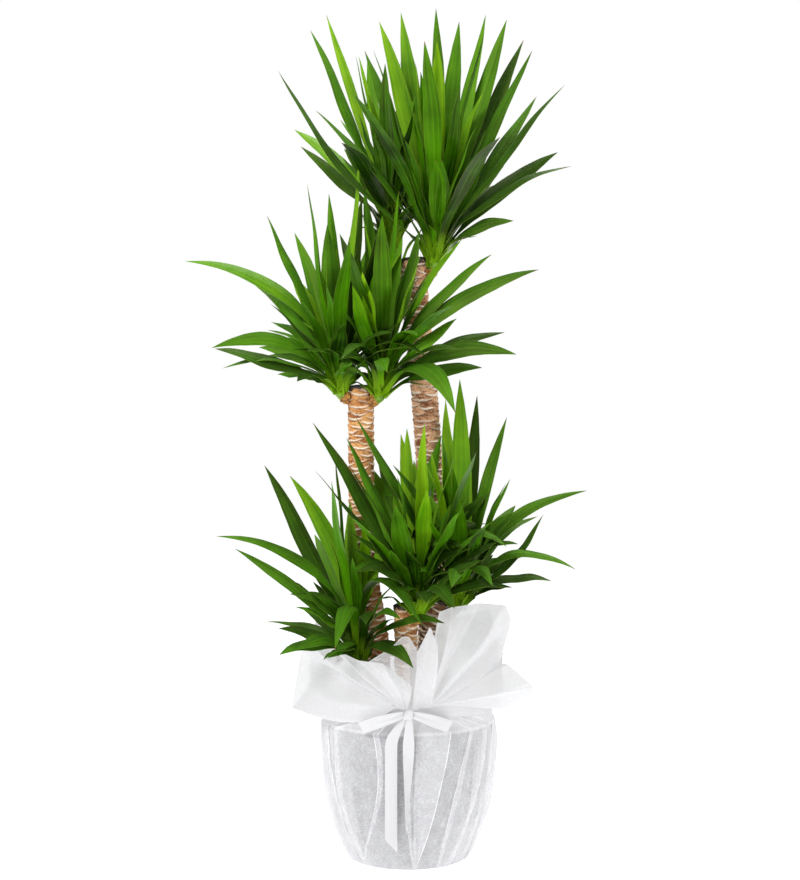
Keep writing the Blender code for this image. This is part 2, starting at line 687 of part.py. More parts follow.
def meets_wood(name, leaf, wood):
    """Whether a leaf touches a cane, another crown's shoot or the fleece's collar."""
    crown = CROWNS[name]
    for step in range(1, 13):
        share = step / 12
        centre, side, up = leaf_frame(crown, leaf, share)
        half = leaf_width(share) * leaf.width / 2
        for point in (centre, centre - side * half, centre + side * half):
            for owner, path, radius in wood:
                if owner == name and share < 0.3:
                    continue
                if distance_to_path(point, path) < radius + CANE_CLEARANCE:
                    return True
            if meets_collar(point):
                return True
    return False


def meets_collar(point):
    turn = math.degrees(math.atan2(point.y, point.x))
    _, edge = collar_edge(turn)
    radius = math.hypot(point.x, point.y)
    low = tie_height(turn)
    if radius < TIE_RADIUS - 0.01 or point.z > edge + COLLAR_CLEARANCE:
        return False
    share = min(max((point.z - low) / (edge - low), 0), 1)
    wall, _ = collar_point(turn, share)
    return radius > wall - COLLAR_CLEARANCE


def settle(name, leaf, placed, wood):
    """Turn a leaf a little, if it must, until it is clear of the others; None if it can't be."""
    for lift in LIFTS:
        for swing in SWINGS:
            trial = leaf._replace(bearing=leaf.bearing + swing, rise=leaf.rise + lift)
            if meets_wood(name, trial, wood):
                continue
            new = as_placed(name, trial)
            if not any(meets_leaf(new, old) for old in placed):
                return new
    return None


def wood_paths():
    wood = []
    for name, cane in CANES.items():
        path = smooth_path(cane.path, 3)
        wood.append((f"cane_{name}", path + [path[-1] + Vector((0, 0, 0.004))], cane.radius + 2 * WAX_WALL))
    for name, crown in CROWNS.items():
        axis = Vector(crown.lean).normalized()
        bud = Vector(crown.foot) + axis * (2 * TIER_STEP + BUD_HEIGHT)
        wood.append((name, shoot_path(crown) + [bud], crown.girth + SLEEVE_WALL))
    return wood


def grow_leaves():
    """Every leaf of the plant, the outlines first and then the spirals' own."""
    placed, wood, plans = [], wood_paths(), {}
    for seed, (name, crown) in enumerate(CROWNS.items()):
        plans[name] = ranked(crown, [*crown.signature, *rule_leaves(crown, seed)])
    for by_hand in (True, False):
        for name, crown in CROWNS.items():
            count = len(crown.signature)
            for leaf in plans[name][:count] if by_hand else plans[name][count:]:
                new = settle(name, leaf, placed, wood)
                if new:
                    placed.append(new)
    return placed


def sheath_inner(crown):
    """Inner radius of a sheath whose flats stay clear of the shoot."""
    return (crown.girth + GAP) / math.cos(math.pi / SHEATH_SIDES)


def build_sheath(name, crown, tier, group, mat):
    """The sheath that a tier's leaves spring from: two rings on the shoot, and a bud on top."""
    low = tier * TIER_STEP
    high = low + TIER_STEP - GAP
    inner = sheath_inner(crown)
    outer = inner + SLEEVE_WALL
    if tier < 2:
        profile = [(inner, low), (inner, high), (outer - 0.0006, high), (outer, low)]
    else:
        bud = low + BUD_HEIGHT
        profile = [(0, bud), (0.35 * crown.girth, bud - 0.004), (crown.girth - 0.001, low + 0.012),
                   (crown.girth - 0.0005, low + GAP), (0, low + GAP)]
    sheath = turned(name, profile, group, mat, SHEATH_SIDES, ring=tier < 2)
    mesh = evaluated_mesh(sheath)
    sheath.modifiers.clear()
    sheath.data = mesh
    axis = Vector(crown.lean).normalized()
    mesh.transform(axis.to_track_quat("Z", "Y").to_matrix().to_4x4())
    mesh.transform(Matrix.Translation(crown.foot))
    return sheath


def build_leaves(group):
    placed = grow_leaves()
    for name, crown in CROWNS.items():
        for tier, label in enumerate(TIERS):
            node = f"leaves_{name}_{label}"
            mat = material(node, (0.06 + 0.03 * tier, 0.22 + 0.07 * tier, 0.03), 0.45)
            sheath = build_sheath(node, crown, tier, group, mat)
            blades = []
            for item in placed:
                if item.crown == name and item.leaf.tier == tier:
                    points, faces = leaf_mesh(crown, item.leaf)
                    blades.append(mesh_object(f"blade_{len(blades)}", points, faces, group, mat))
            if blades:
                join_by_union(sheath, blades, group)


def main():
    clear_scene()
    plant = collection("potted_yucca")
    cutters = collection("cutters")
    build_pot(plant)
    build_soil(plant, cutters)
    build_fleece(plant)
    build_band(plant)
    build_bow(plant)
    build_canes(plant)
    build_shoots(plant)
    build_leaves(plant)


main()
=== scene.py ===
"""Potted yucca: leaves, bark, wrap and ribbon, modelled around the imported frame.

Metres, +Z up, the floor at Z 0. The front of the plant faces -Y.
"""

import math
import random
from collections import namedtuple

import bpy
import numpy as np
from mathutils import Matrix, Vector, noise
from mathutils.bvhtree import BVHTree


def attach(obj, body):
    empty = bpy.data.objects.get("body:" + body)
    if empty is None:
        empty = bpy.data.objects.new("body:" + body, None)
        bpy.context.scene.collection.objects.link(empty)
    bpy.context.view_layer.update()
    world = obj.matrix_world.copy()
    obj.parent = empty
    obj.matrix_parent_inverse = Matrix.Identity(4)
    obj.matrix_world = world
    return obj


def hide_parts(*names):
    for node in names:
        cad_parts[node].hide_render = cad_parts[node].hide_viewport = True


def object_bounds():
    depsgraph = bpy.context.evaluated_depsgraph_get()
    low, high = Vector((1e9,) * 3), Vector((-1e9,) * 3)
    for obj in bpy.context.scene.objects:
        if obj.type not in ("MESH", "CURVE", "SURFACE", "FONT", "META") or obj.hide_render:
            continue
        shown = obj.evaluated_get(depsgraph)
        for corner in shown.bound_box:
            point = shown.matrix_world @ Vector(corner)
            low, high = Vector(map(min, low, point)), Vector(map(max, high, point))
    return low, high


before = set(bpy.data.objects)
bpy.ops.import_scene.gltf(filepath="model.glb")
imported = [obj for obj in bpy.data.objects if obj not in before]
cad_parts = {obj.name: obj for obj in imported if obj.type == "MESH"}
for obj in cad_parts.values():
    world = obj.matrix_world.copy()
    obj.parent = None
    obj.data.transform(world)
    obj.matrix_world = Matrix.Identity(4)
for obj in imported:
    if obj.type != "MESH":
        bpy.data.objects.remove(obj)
cad_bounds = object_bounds()

# ---- camera -----------------------------------------------------------------------------

camera = bpy.data.objects.new("view", bpy.data.cameras.new("view"))
bpy.context.scene.collection.objects.link(camera)
camera.location = (-0.014, -2.4, 0.716)
camera.rotation_euler = (math.pi / 2, 0, 0)
camera.data.lens = 56.4
camera.data.sensor_width = 36
bpy.context.scene.camera = camera

# ---- how the plant grows: the same rule as the frame's ----------------------------------

GAP = 0.0003  # between two pieces that would otherwise touch

POT_HEIGHT = 0.230
POT_BASE_RADIUS = 0.105
POT_RIM_RADIUS = 0.150
POT_CURVE = 2.7  # how quickly the side swells above the base
POT_WALL = 0.003

SOIL_TOP = 0.204
SOIL_MOUND = 0.008
CANE_DEPTH = 0.10  # height of the canes' buried ends above the floor

FLEECE_THICKNESS = 0.0015
TIE_RADIUS = 0.1465  # of the fleece's outer face under the ribbon
TIE_BACK = 0.250  # height of the ribbon's middle at the back
TIE_LIFT = 0.022  # the bow holds the ribbon this much higher at the front

RIBBON_WIDTH = 0.020
BOW_FRONT = -0.166  # Y of the knot's middle

WAX_WALL = 0.0015

SLEEVE_WALL = 0.0025
SHEATH_SIDES = 10
TIER_STEP = 0.018  # height of one tier's sheath on the shoot
BUD_HEIGHT = 0.028
LEAF_THICKNESS = 0.0022
LEAF_FOOT_WIDTH = 0.0065
LEAF_STATIONS = (0.0, 0.12, 0.42, 0.76)
TIERS = ("outer", "middle", "inner")

# The collar's edge: degrees round the pot, radius, height.
COLLAR = (
    (0, 0.200, 0.300), (20, 0.190, 0.350), (38, 0.200, 0.418), (64, 0.180, 0.395),
    (105, 0.168, 0.335), (138, 0.200, 0.395), (160, 0.178, 0.335), (182, 0.200, 0.330),
    (200, 0.203, 0.262), (222, 0.172, 0.300), (245, 0.168, 0.350), (262, 0.152, 0.320),
    (270, 0.150, 0.300), (285, 0.152, 0.412), (298, 0.160, 0.325), (310, 0.165, 0.288),
    (335, 0.190, 0.298), (350, 0.220, 0.284),
)

Cane = namedtuple("Cane", "radius path")
CANES = {
    "tall": Cane(0.0235, ((0.038, 0.045, CANE_DEPTH), (0.041, 0.045, 0.36), (0.042, 0.045, 0.50),
                          (0.038, 0.040, 0.66), (0.029, 0.032, 0.80), (0.015, 0.024, 0.94),
                          (0.010, 0.020, 1.033))),
    "medium": Cane(0.0225, ((-0.050, 0.012, CANE_DEPTH), (-0.054, 0.010, 0.34), (-0.068, 0.006, 0.44),
                            (-0.080, 0.002, 0.56), (-0.082, 0.000, 0.808))),
    "short_front": Cane(0.0197, ((-0.004, -0.056, CANE_DEPTH), (-0.004, -0.056, 0.30),
                                 (-0.004, -0.055, 0.435))),
    "short_right": Cane(0.0200, ((0.014, -0.008, CANE_DEPTH), (0.026, -0.012, 0.28),
                                 (0.052, -0.018, 0.440))),
}

Leaf = namedtuple("Leaf", "bearing rise length bow width turn tier share", defaults=(0, 0.0))
Crown = namedtuple("Crown", "cane start foot lean girth longest count phase signature")


def hand(bearing, rise, length_cm, bow=0.03, width_mm=30, turn=55):
    """One listed leaf: its compass turn, its tip's angle above level from the crown's foot,
    how far the tip is from there in centimetres, and how much it arches."""
    return Leaf(bearing, rise, length_cm / 100, bow, width_mm / 1000, turn)


# Every crown: its cane, where its shoot leaves the cane (turn, height), where its leaves begin,
# how the shoot leans, the shoot's radius, its longest leaf, how many leaves grow by the rule
# below, the spiral's first turn, and the leaves that give the crown its outline.
CROWNS = {
    "tall_right": Crown("tall", (345, 1.008), (0.047, 0.007, 1.040), (0.10, -0.03, 1), 0.0090,
                        0.40, 12, 20, (
        hand(160, 76, 43), hand(125, 77, 46, 0), hand(275, 86, 37, 0), hand(60, 78, 44, 0),
        hand(5, 78, 43, 0, 28), hand(350, 73, 43, 0, 28), hand(15, 67, 42, 0.01),
        hand(312, 70, 38, 0.02), hand(340, 50, 36, 0.04, 31, 50), hand(10, 40, 29, 0.04),
        hand(338, 29, 28, 0.11, 29, 50), hand(42, 44, 26, 0.05), hand(218, 68, 36, 0.02, 27, 30),
        hand(178, 71, 38, 0.01), hand(262, 72, 31, 0.03), hand(192, 48, 41, -0.04, 23, 50),
        hand(204, 46, 32, 0.05, 25, 50), hand(8, 57, 34, 0.02), hand(345, 20, 15, 0.10, 22),
        hand(85, 82, 44, 0), hand(300, 56, 24, 0.06, 24), hand(340, 62, 38, 0.02))),
    "tall_left": Crown("tall", (150, 1.000), (-0.030, 0.050, 1.095), (-0.12, 0.06, 1), 0.0080,
                       0.33, 8, 100, (
        hand(192, 67, 37, 0.02, 29, 40), hand(150, 71, 42, 0, 16), hand(222, 70, 30, 0.02),
        hand(115, 72, 34, 0, 22), hand(172, 42, 22, 0.02, 20, 60), hand(60, 76, 30, 0.02))),
    "medium_left": Crown("medium", (200, 0.788), (-0.119, -0.012, 0.808), (-0.14, -0.05, 1), 0.0085,
                         0.33, 9, 100, (
        hand(186, 39, 34, 0.14, 27, 55), hand(186, 67, 32, 0.01, 28, 40), hand(150, 68, 30, 0.02, 23),
        hand(218, 79, 35, 0, 29, 20), hand(105, 76, 36, 0, 20, 10), hand(5, 85, 40, 0, 29, 10),
        hand(50, 80, 34, 0, 27), hand(196, 16, 23, 0.16, 25, 55), hand(211, 14, 24, 0.05, 29, 60),
        hand(160, 25, 17, 0.08, 26), hand(228, 2, 13, 0.12, 27), hand(168, 48, 27, 0.09, 27, 50),
        hand(275, 30, 19, 0.08, 24, 10), hand(315, 20, 18, 0.10, 22, 20))),
    "medium_right": Crown("medium", (325, 0.784), (-0.048, -0.021, 0.802), (0.10, -0.06, 1), 0.0090,
                          0.33, 9, 30, (
        hand(115, 79, 37, 0, 28), hand(300, 79, 34, 0.02, 18, 50), hand(335, 76, 28, 0.01),
        hand(350, 50, 30, 0.06, 24, 50), hand(346, 36, 34, 0.11, 30, 55),
        hand(340, 43, 18, 0.05, 25), hand(10, 25, 24, 0.09, 24, 50), hand(343, 13, 25, 0.15, 29, 55),
        hand(317, 18, 20, 0.14, 26, 45), hand(352, 12, 18, 0.05, 28, 50),
        hand(309, -12, 20, 0.27, 31, 45), hand(290, 24, 20, 0.18, 27, 20),
        hand(245, 58, 20, 0.03, 26, 10), hand(230, 38, 17, 0.06, 23, 20),
        hand(200, 84, 30, 0.02, 25, 10))),
    "front_main": Crown("short_front", (310, 0.412), (0.016, -0.084, 0.434), (0.02, -0.06, 1), 0.0080,
                        0.29, 7, 10, (
        hand(172, 60, 36, 0.02, 29, 45), hand(190, 67, 31, 0.02, 25, 40), hand(207, 51, 30, 0.03, 29, 45),
        hand(250, 58, 21, 0.04, 29, 0), hand(105, 77, 31, 0, 25, 0), hand(300, 86, 31, 0, 23, 0),
        hand(320, 65, 29, 0.01, 31, 30), hand(310, 30, 18, 0.08, 29, 45), hand(225, 46, 22, 0.06, 27, 30),
        hand(275, 10, 14, 0.14, 24, 0), hand(335, 48, 20, 0.05, 24, 30))),
    "front_small": Crown("short_front", (70, 0.400), (0.010, -0.014, 0.470), (-0.10, 0.10, 1), 0.0065,
                         0.24, 5, 80, (
        hand(120, 80, 26, 0, 22), hand(160, 62, 24, 0.03, 24), hand(50, 78, 26, 0.01, 22))),
    "right": Crown("short_right", (335, 0.416), (0.087, -0.034, 0.442), (0.06, -0.02, 1), 0.0085,
                   0.32, 8, 140, (
        hand(207, 57, 37, 0.02, 29, 45), hand(110, 80, 35, 0, 25, 0), hand(80, 82, 38, 0, 28, 0),
        hand(70, 73, 37, 0, 23, 0), hand(40, 72, 33, 0, 19, 40), hand(338, 74, 23, 0.01, 27, 30),
        hand(330, 65, 23, 0.02, 29, 40), hand(352, 44, 29, 0.12, 18, 60), hand(310, 30, 16, 0.34, 20, 50),
        hand(340, 45, 21, -0.05, 20, 50), hand(333, 16, 22, 0.22, 18, 50), hand(35, 22, 10, 0.08, 24),
        hand(5, 22, 11, 0.08, 21), hand(268, 62, 20, 0.02, 26, 0), hand(20, 54, 18, 0.06, 26))),
    "low_left": Crown("medium", (232, 0.322), (-0.084, -0.031, 0.340), (-0.06, -0.04, 1), 0.0070,
                      0.31, 5, 200, (
        hand(183, 64, 37, 0.02, 30, 45), hand(158, 67, 34, 0.05, 27, 45), hand(188, 45, 33, 0.15, 24, 55),
        hand(198, 42, 29, 0.06, 18, 60), hand(216, 40, 23, 0.06, 28, 50), hand(192, 22, 15, 0.06, 20, 50),
        hand(226, 12, 15, 0.16, 25, 45), hand(257, 14, 16, 0.42, 27, 10), hand(303, 22, 21, 0.42, 29, 25),
        hand(325, 22, 21, 0.15, 23, 40), hand(309, 2, 16, 0.22, 27, 40), hand(238, 82, 35, 0, 18, 40),
        hand(236, 74, 32, 0.01, 27, 20))),
}

GOLDEN_TURN = 137.5
LEAF_CLEARANCE = 0.0015
CANE_CLEARANCE = 0.004
COLLAR_CLEARANCE = 0.007
SWINGS = (0, 4, -4, 8, -8, 12, -12, 17, -17, 23, -23)
LIFTS = (0, 4, -4, 8, -8, 13)


def smooth_path(points, per_span):
    """Points on a Catmull-Rom curve through the given ones."""
    knots = [Vector(p) for p in points]
    knots = [2 * knots[0] - knots[1]] + knots + [2 * knots[-1] - knots[-2]]
    path = []
    for a, b, c, d in zip(knots, knots[1:], knots[2:], knots[3:]):
        for step in range(per_span):
            t = step / per_span
            path.append(0.5 * (2 * b + (c - a) * t + (2 * a - 5 * b + 4 * c - d) * t * t
                               + (3 * b - a - 3 * c + d) * t ** 3))
    return path + [knots[-2]]


def pot_radius(height):
    """The pot's outer radius: narrow at the base, swelling to an almost upright rim."""
    share = min(max(height / POT_HEIGHT, 0.0), 1.0)
    return POT_BASE_RADIUS + (POT_RIM_RADIUS - POT_BASE_RADIUS) * (1 - (1 - share) ** POT_CURVE)


def tie_height(degrees):
    return TIE_BACK + TIE_LIFT * ((1 - math.sin(math.radians(degrees))) / 2) ** 2


def collar_edge(degrees):
    """Radius and height of the collar's edge, eased between the listed points."""
    degrees %= 360
    points = [*COLLAR, (COLLAR[0][0] + 360, *COLLAR[0][1:])]
    for (a, ra, za), (b, rb, zb) in zip(points, points[1:]):
        if a <= degrees <= b:
            t = (degrees - a) / (b - a)
            t = t * t * (3 - 2 * t)
            return ra + (rb - ra) * t, za + (zb - za) * t
    return points[0][1:]


def collar_point(degrees, share):
    """Radius and height on the collar, from the tie (0) to the edge (1)."""
    radius, height = collar_edge(degrees)
    low = tie_height(degrees) + RIBBON_WIDTH / 2 + 0.001
    curl = 0.16 * (radius - TIE_RADIUS) * math.sin(math.pi * share)
    return TIE_RADIUS + (radius - TIE_RADIUS) * share ** 0.85, low + (height - low) * share + curl


def cane_point(cane, height):
    """The middle of a cane at a height."""
    path = smooth_path(cane.path, 6)
    for low, high in zip(path, path[1:]):
        if low.z <= height <= high.z:
            return low.lerp(high, (height - low.z) / (high.z - low.z))
    return path[-1]


def shoot_path(crown):
    """Out of the cane square to its bark, then up and along the crown's axis."""
    cane = CANES[crown.cane]
    turn, height = crown.start
    out = Vector((math.cos(math.radians(turn)), math.sin(math.radians(turn)), 0))
    middle = cane_point(cane, height)
    root = middle + out * (cane.radius + 0.0012)
    foot, axis = Vector(crown.foot), Vector(crown.lean).normalized()
    elbow = root + out * 0.007 + Vector((0, 0, 0.003))
    top = foot + axis * 2 * TIER_STEP
    path = [root, root + out * 0.003]
    path += smooth_path((elbow, foot - axis * 0.012, foot - axis * 0.002), 3)
    return path + [top - axis * GAP]


def direction(bearing, rise):
    """The way a bearing and a rise in degrees point."""
    b, r = math.radians(bearing), math.radians(rise)
    return Vector((math.cos(r) * math.cos(b), math.cos(r) * math.sin(b), math.sin(r)))


def start_angle(crown, leaf):
    """The angle at which a leaf leaves its shoot, from square to the shoot's axis."""
    begin = leaf.rise + math.degrees(math.atan(4 * leaf.bow))
    axis = Vector(crown.lean).normalized()
    return 90 - math.degrees(direction(leaf.bearing, begin).angle(axis))


def ranked(crown, leaves):
    """Give each leaf its tier and its place in it: the steeper it grows, the higher it starts."""
    order = sorted(leaves, key=lambda leaf: start_angle(crown, leaf))
    places = {leaf: 3 * rank / len(order) for rank, leaf in enumerate(order)}
    return [leaf._replace(tier=int(places[leaf]), share=places[leaf] % 1) for leaf in leaves]


def leaf_foot(crown, leaf):
    """Where a leaf starts: on its tier's sheath, or on the bud."""
    height = leaf.tier * TIER_STEP + 0.003 + 0.009 * leaf.share
    radius = sheath_inner(crown) + 0.0013
    if leaf.tier == 2:
        height = 2 * TIER_STEP + 0.004 + 0.014 * leaf.share
        radius = (crown.girth - 0.001) * (1 - 0.55 * leaf.share)
    out = direction(leaf.bearing, 0)
    return Vector(crown.foot) + Vector(crown.lean).normalized() * height + out * radius


def leaf_width(share):
    """Width along a leaf, as a share of its widest: a narrow foot, a long taper to the tip."""
    if share < 0.45:
        t = share / 0.45
        return 0.46 + 0.54 * math.sin(t * math.pi / 2)
    return max(math.cos(((share - 0.45) / 0.55) ** 1.5 * math.pi / 2), 0.0)


def leaf_frame(crown, leaf, share):
    """Centre, side and upward normal at a share of the leaf's length."""
    foot = leaf_foot(crown, leaf)
    chord = Vector(crown.foot) + direction(leaf.bearing, leaf.rise) * leaf.length - foot
    over = direction(leaf.bearing, leaf.rise + 90)
    lift = over * 2 * leaf.bow * leaf.length
    centre = foot + chord * share + lift * 2 * share * (1 - share)
    along = (chord + lift * 2 * (1 - 2 * share)).normalized()
    side = direction(leaf.bearing + 90, 0)
    up = along.cross(side).normalized()
    front = Vector((0, -1, 0)) - along * Vector((0, -1, 0)).dot(along)
    lean = 1 if front.dot(side) > 0 else -1
    eased = min(share / 0.45, 1)
    angle = -lean * math.radians(leaf.turn) * eased * eased * (3 - 2 * eased) * min(front.length, 1)
    spin = Matrix.Rotation(angle, 3, along)
    return centre, spin @ side, -(spin @ up)


def leaf_mesh(crown, leaf, swell=0.0):
    """A low-polygon leaf: a shallow channel in section, coming to a point."""
    points, faces = [], []
    for share in LEAF_STATIONS:
        centre, side, up = leaf_frame(crown, leaf, share)
        half = leaf_width(share) * leaf.width / 2 + swell
        if share == 0:
            half = LEAF_FOOT_WIDTH / 2 + swell
        channel = half * (0.26 - 0.16 * share)
        thick = LEAF_THICKNESS / 2 + swell
        points += [centre - side * half + up * channel, centre + up * thick,
                   centre + side * half + up * channel, centre - up * thick]
    rings = len(LEAF_STATIONS)
    for ring in range(rings - 1):
        a, b = 4 * ring, 4 * ring + 4
        faces += [(a + k, a + (k + 1) % 4, b + (k + 1) % 4, b + k) for k in range(4)]
    tip, _, _ = leaf_frame(crown, leaf, 1.0)
    points.append(tip)
    last = 4 * (rings - 1)
    faces += [(last + k, last + (k + 1) % 4, len(points) - 1) for k in range(4)]
    faces.append((3, 2, 1, 0))
    return points, faces


def rule_leaves(crown, seed):
    """The leaves that the crown's spiral adds: low and short outside, tall and straight inside."""
    dice = random.Random(seed)
    for order in range(crown.count):
        share = order / max(crown.count - 1, 1)
        yield Leaf(
            bearing=crown.phase + GOLDEN_TURN * order,
            rise=14 + 68 * share ** 0.8 + dice.uniform(-5, 5),
            length=crown.longest * (0.36 + 0.56 * math.sin(math.pi * (0.12 + 0.5 * share))),
            bow=0.10 * (1 - share) ** 1.2 + 0.01,
            width=dice.uniform(0.025, 0.031),
            turn=dice.uniform(10, 50),
        )


Placed = namedtuple("Placed", "crown leaf whole outer low high")


def as_placed(name, leaf):
    crown = CROWNS[name]
    points, faces = leaf_mesh(crown, leaf, LEAF_CLEARANCE)
    beyond = [face for face in faces if min(face) >= 4]
    low = Vector([min(p[k] for p in points) for k in range(3)])
    high = Vector([max(p[k] for p in points) for k in range(3)])
    return Placed(name, leaf, BVHTree.FromPolygons(points, faces),
                  BVHTree.FromPolygons(points, beyond), low, high)


def boxes_meet(a, b):
    return all(a.low[k] <= b.high[k] and b.low[k] <= a.high[k] for k in range(3))


def meets_leaf(new, old):
    if not boxes_meet(new, old):
        return False
    if new.crown == old.crown and new.leaf.tier == old.leaf.tier:
        return bool(new.outer.overlap(old.outer))
    return bool(new.whole.overlap(old.whole))


def distance_to_path(point, path):
    best = 9.0
    for a, b in zip(path, path[1:]):
        span = b - a
        t = min(max((point - a).dot(span) / span.length_squared, 0), 1)
        best = min(best, (point - a - span * t).length)
    return best


def meets_wood(name, leaf, wood):
    """Whether a leaf touches a cane, another crown's shoot or the fleece's collar."""
    crown = CROWNS[name]
    for step in range(1, 13):
        share = step / 12
        centre, side, _ = leaf_frame(crown, leaf, share)
        half = leaf_width(share) * leaf.width / 2
        for point in (centre, centre - side * half, centre + side * half):
            for owner, path, radius in wood:
                if owner == name and share < 0.3:
                    continue
                if distance_to_path(point, path) < radius + CANE_CLEARANCE:
                    return True
            if meets_collar(point):
                return True
    return False


def meets_collar(point):
    turn = math.degrees(math.atan2(point.y, point.x))
    _, edge = collar_edge(turn)
    radius = math.hypot(point.x, point.y)
    low = tie_height(turn)
    if radius < TIE_RADIUS - 0.01 or point.z > edge + COLLAR_CLEARANCE:
        return False
    share = min(max((point.z - low) / (edge - low), 0), 1)
    wall, _ = collar_point(turn, share)
    return radius > wall - COLLAR_CLEARANCE


def settle(name, leaf, placed, wood):
    """Turn a leaf a little, if it must, until it is clear of the others; None if it can't be."""
    for lift in LIFTS:
        for swing in SWINGS:
            trial = leaf._replace(bearing=leaf.bearing + swing, rise=leaf.rise + lift)
            if meets_wood(name, trial, wood):
                continue
            new = as_placed(name, trial)
            if not any(meets_leaf(new, old) for old in placed):
                return new
    return None


def wood_paths():
    """Every cane's and shoot's name, middle line and radius."""
    wood = []
    for name, cane in CANES.items():
        path = smooth_path(cane.path, 3)
        wood.append((f"cane_{name}", path + [path[-1] + Vector((0, 0, 0.004))], cane.radius + 2 * WAX_WALL))
    for name, crown in CROWNS.items():
        axis = Vector(crown.lean).normalized()
        bud = Vector(crown.foot) + axis * (2 * TIER_STEP + BUD_HEIGHT)
        wood.append((name, shoot_path(crown) + [bud], crown.girth + SLEEVE_WALL))
    return wood


def grow_leaves():
    """Every leaf of the plant, the outlines first and then the spirals' own."""
    placed, wood, plans = [], wood_paths(), {}
    for seed, (name, crown) in enumerate(CROWNS.items()):
        plans[name] = ranked(crown, [*crown.signature, *rule_leaves(crown, seed)])
    for by_hand in (True, False):
        for name, crown in CROWNS.items():
            count = len(crown.signature)
            for leaf in plans[name][:count] if by_hand else plans[name][count:]:
                new = settle(name, leaf, placed, wood)
                if new:
                    placed.append(new)
    return placed


def sheath_inner(crown):
    """Inner radius of a sheath whose flats stay clear of the shoot."""
    return (crown.girth + GAP) / math.cos(math.pi / SHEATH_SIDES)


# ---- modelling helpers ------------------------------------------------------------------

def select_only(*objects):
    bpy.ops.object.select_all(action="DESELECT")
    for obj in objects:
        obj.select_set(True)
    bpy.context.view_layer.objects.active = objects[0]


def edit_whole(obj, *steps):
    """Run mesh operators on the whole of one object."""
    select_only(obj)
    bpy.ops.object.mode_set(mode="EDIT")
    for step in steps:
        bpy.ops.mesh.select_all(action="SELECT")
        step()
    bpy.ops.object.mode_set(mode="OBJECT")


def weld(distance=0.00001):
    bpy.ops.mesh.remove_doubles(threshold=distance)


def close_ends():
    bpy.ops.mesh.fill_holes(sides=0)


def face_out():
    bpy.ops.mesh.normals_make_consistent(inside=False)


def primitive(name, add, **settings):
    """A new primitive, named, and the only thing selected."""
    bpy.ops.object.select_all(action="DESELECT")
    add(**settings)
    obj = bpy.context.object
    obj.name = obj.data.name = name
    return obj


def flat_grid(name, across, along):
    """A flat sheet one unit wide and long, with a UV map across and along it."""
    grid = primitive(name, bpy.ops.mesh.primitive_grid_add, x_subdivisions=across,
                     y_subdivisions=along, size=1)
    grid.data.uv_layers[0].name = "surface"
    return grid


def copy_of(obj):
    """A copy with a mesh of its own."""
    copy = obj.copy()
    copy.data = obj.data.copy()
    bpy.context.scene.collection.objects.link(copy)
    return copy


def read_points(obj):
    flat = np.empty(3 * len(obj.data.vertices))
    obj.data.vertices.foreach_get("co", flat)
    return flat.reshape(-1, 3)


def place_points(obj, points):
    obj.data.vertices.foreach_set("co", np.asarray(points, dtype=float).ravel())
    obj.data.update()


def laid_out(name, across, along, place):
    """A grid laid out in space: place(across, along) gives each point, both from 0 to 1."""
    grid = flat_grid(name, across, along)
    place_points(grid, [place(x + 0.5, y + 0.5) for x, y, _ in read_points(grid)])
    return grid


def lumpy(x, y, z):
    """Smooth noise at a point, from -1 to 1."""
    return noise.noise(Vector((x, y, z)))


def around(degrees):
    """The way out from the pot's axis at a turn."""
    return math.cos(math.radians(degrees)), math.sin(math.radians(degrees))


def mark(obj, values):
    """Keep four numbers at each point for the material to read."""
    layer = obj.data.color_attributes.new("marks", "FLOAT_COLOR", "POINT")
    layer.data.foreach_set("color", np.asarray(values, dtype=float).ravel())


def apply_modifier(obj, kind, **settings):
    select_only(obj)
    modifier = obj.modifiers.new(kind, kind)
    for key, value in settings.items():
        setattr(modifier, key, value)
    bpy.ops.object.modifier_apply(modifier=modifier.name)


def soften(obj, degrees):
    select_only(obj)
    bpy.ops.object.shade_smooth_by_angle(angle=math.radians(degrees))


def dress(obj, material):
    obj.data.materials.clear()
    obj.data.materials.append(material)


def stands_for(obj, slot, *nodes):
    """The piece moves with the pot and stands for CAD nodes; the slot is not used."""
    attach(obj, "root")
    if nodes:
        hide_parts(*nodes)


def finish(obj, degrees, material, slot, *nodes):
    """Smooth the piece up to an angle, give it its material and say what it stands for."""
    soften(obj, degrees)
    dress(obj, material)
    stands_for(obj, slot, *nodes)


def joined(name, pieces):
    select_only(*pieces)
    if len(pieces) > 1:
        bpy.ops.object.join()
    obj = bpy.context.object
    obj.name = obj.data.name = name
    return obj


# ---- material helpers -------------------------------------------------------------------

def connect(tree, value, socket):
    """Link a socket to another, or set it to a number, a colour or a scale."""
    if isinstance(value, bpy.types.NodeSocket):
        tree.links.new(value, socket)
    elif isinstance(value, tuple) and socket.type == "RGBA":
        socket.default_value = (*value, 1.0)
    else:
        socket.default_value = value


def add_node(tree, kind, inputs=None, **settings):
    """A shader node with its settings made and its inputs connected or set."""
    made = tree.nodes.new(f"ShaderNode{kind}")
    for key, value in settings.items():
        setattr(made, key, value)
    for key, value in (inputs or {}).items():
        connect(tree, value, made.inputs[key])
    return made


def feed(tree, target, **values):
    """Give a shader's or a group's sockets their values, each by its name."""
    for key, value in values.items():
        connect(tree, value, target.inputs[key.replace("_", " ")])
    return target


def calc(tree, operation, a, b=0.0, clamp=False):
    return add_node(tree, "Math", {0: a, 1: b}, operation=operation, use_clamp=clamp).outputs[0]


def times(tree, a, b):
    return calc(tree, "MULTIPLY", a, b)


def plus(tree, base, value, weight):
    """The base and a weighted value."""
    return calc(tree, "ADD", base, times(tree, value, weight))


def swing(tree, base, pattern, weight):
    """The base, moved up and down by a pattern that runs from 0 to 1."""
    return plus(tree, base, calc(tree, "SUBTRACT", pattern, 0.5), weight)


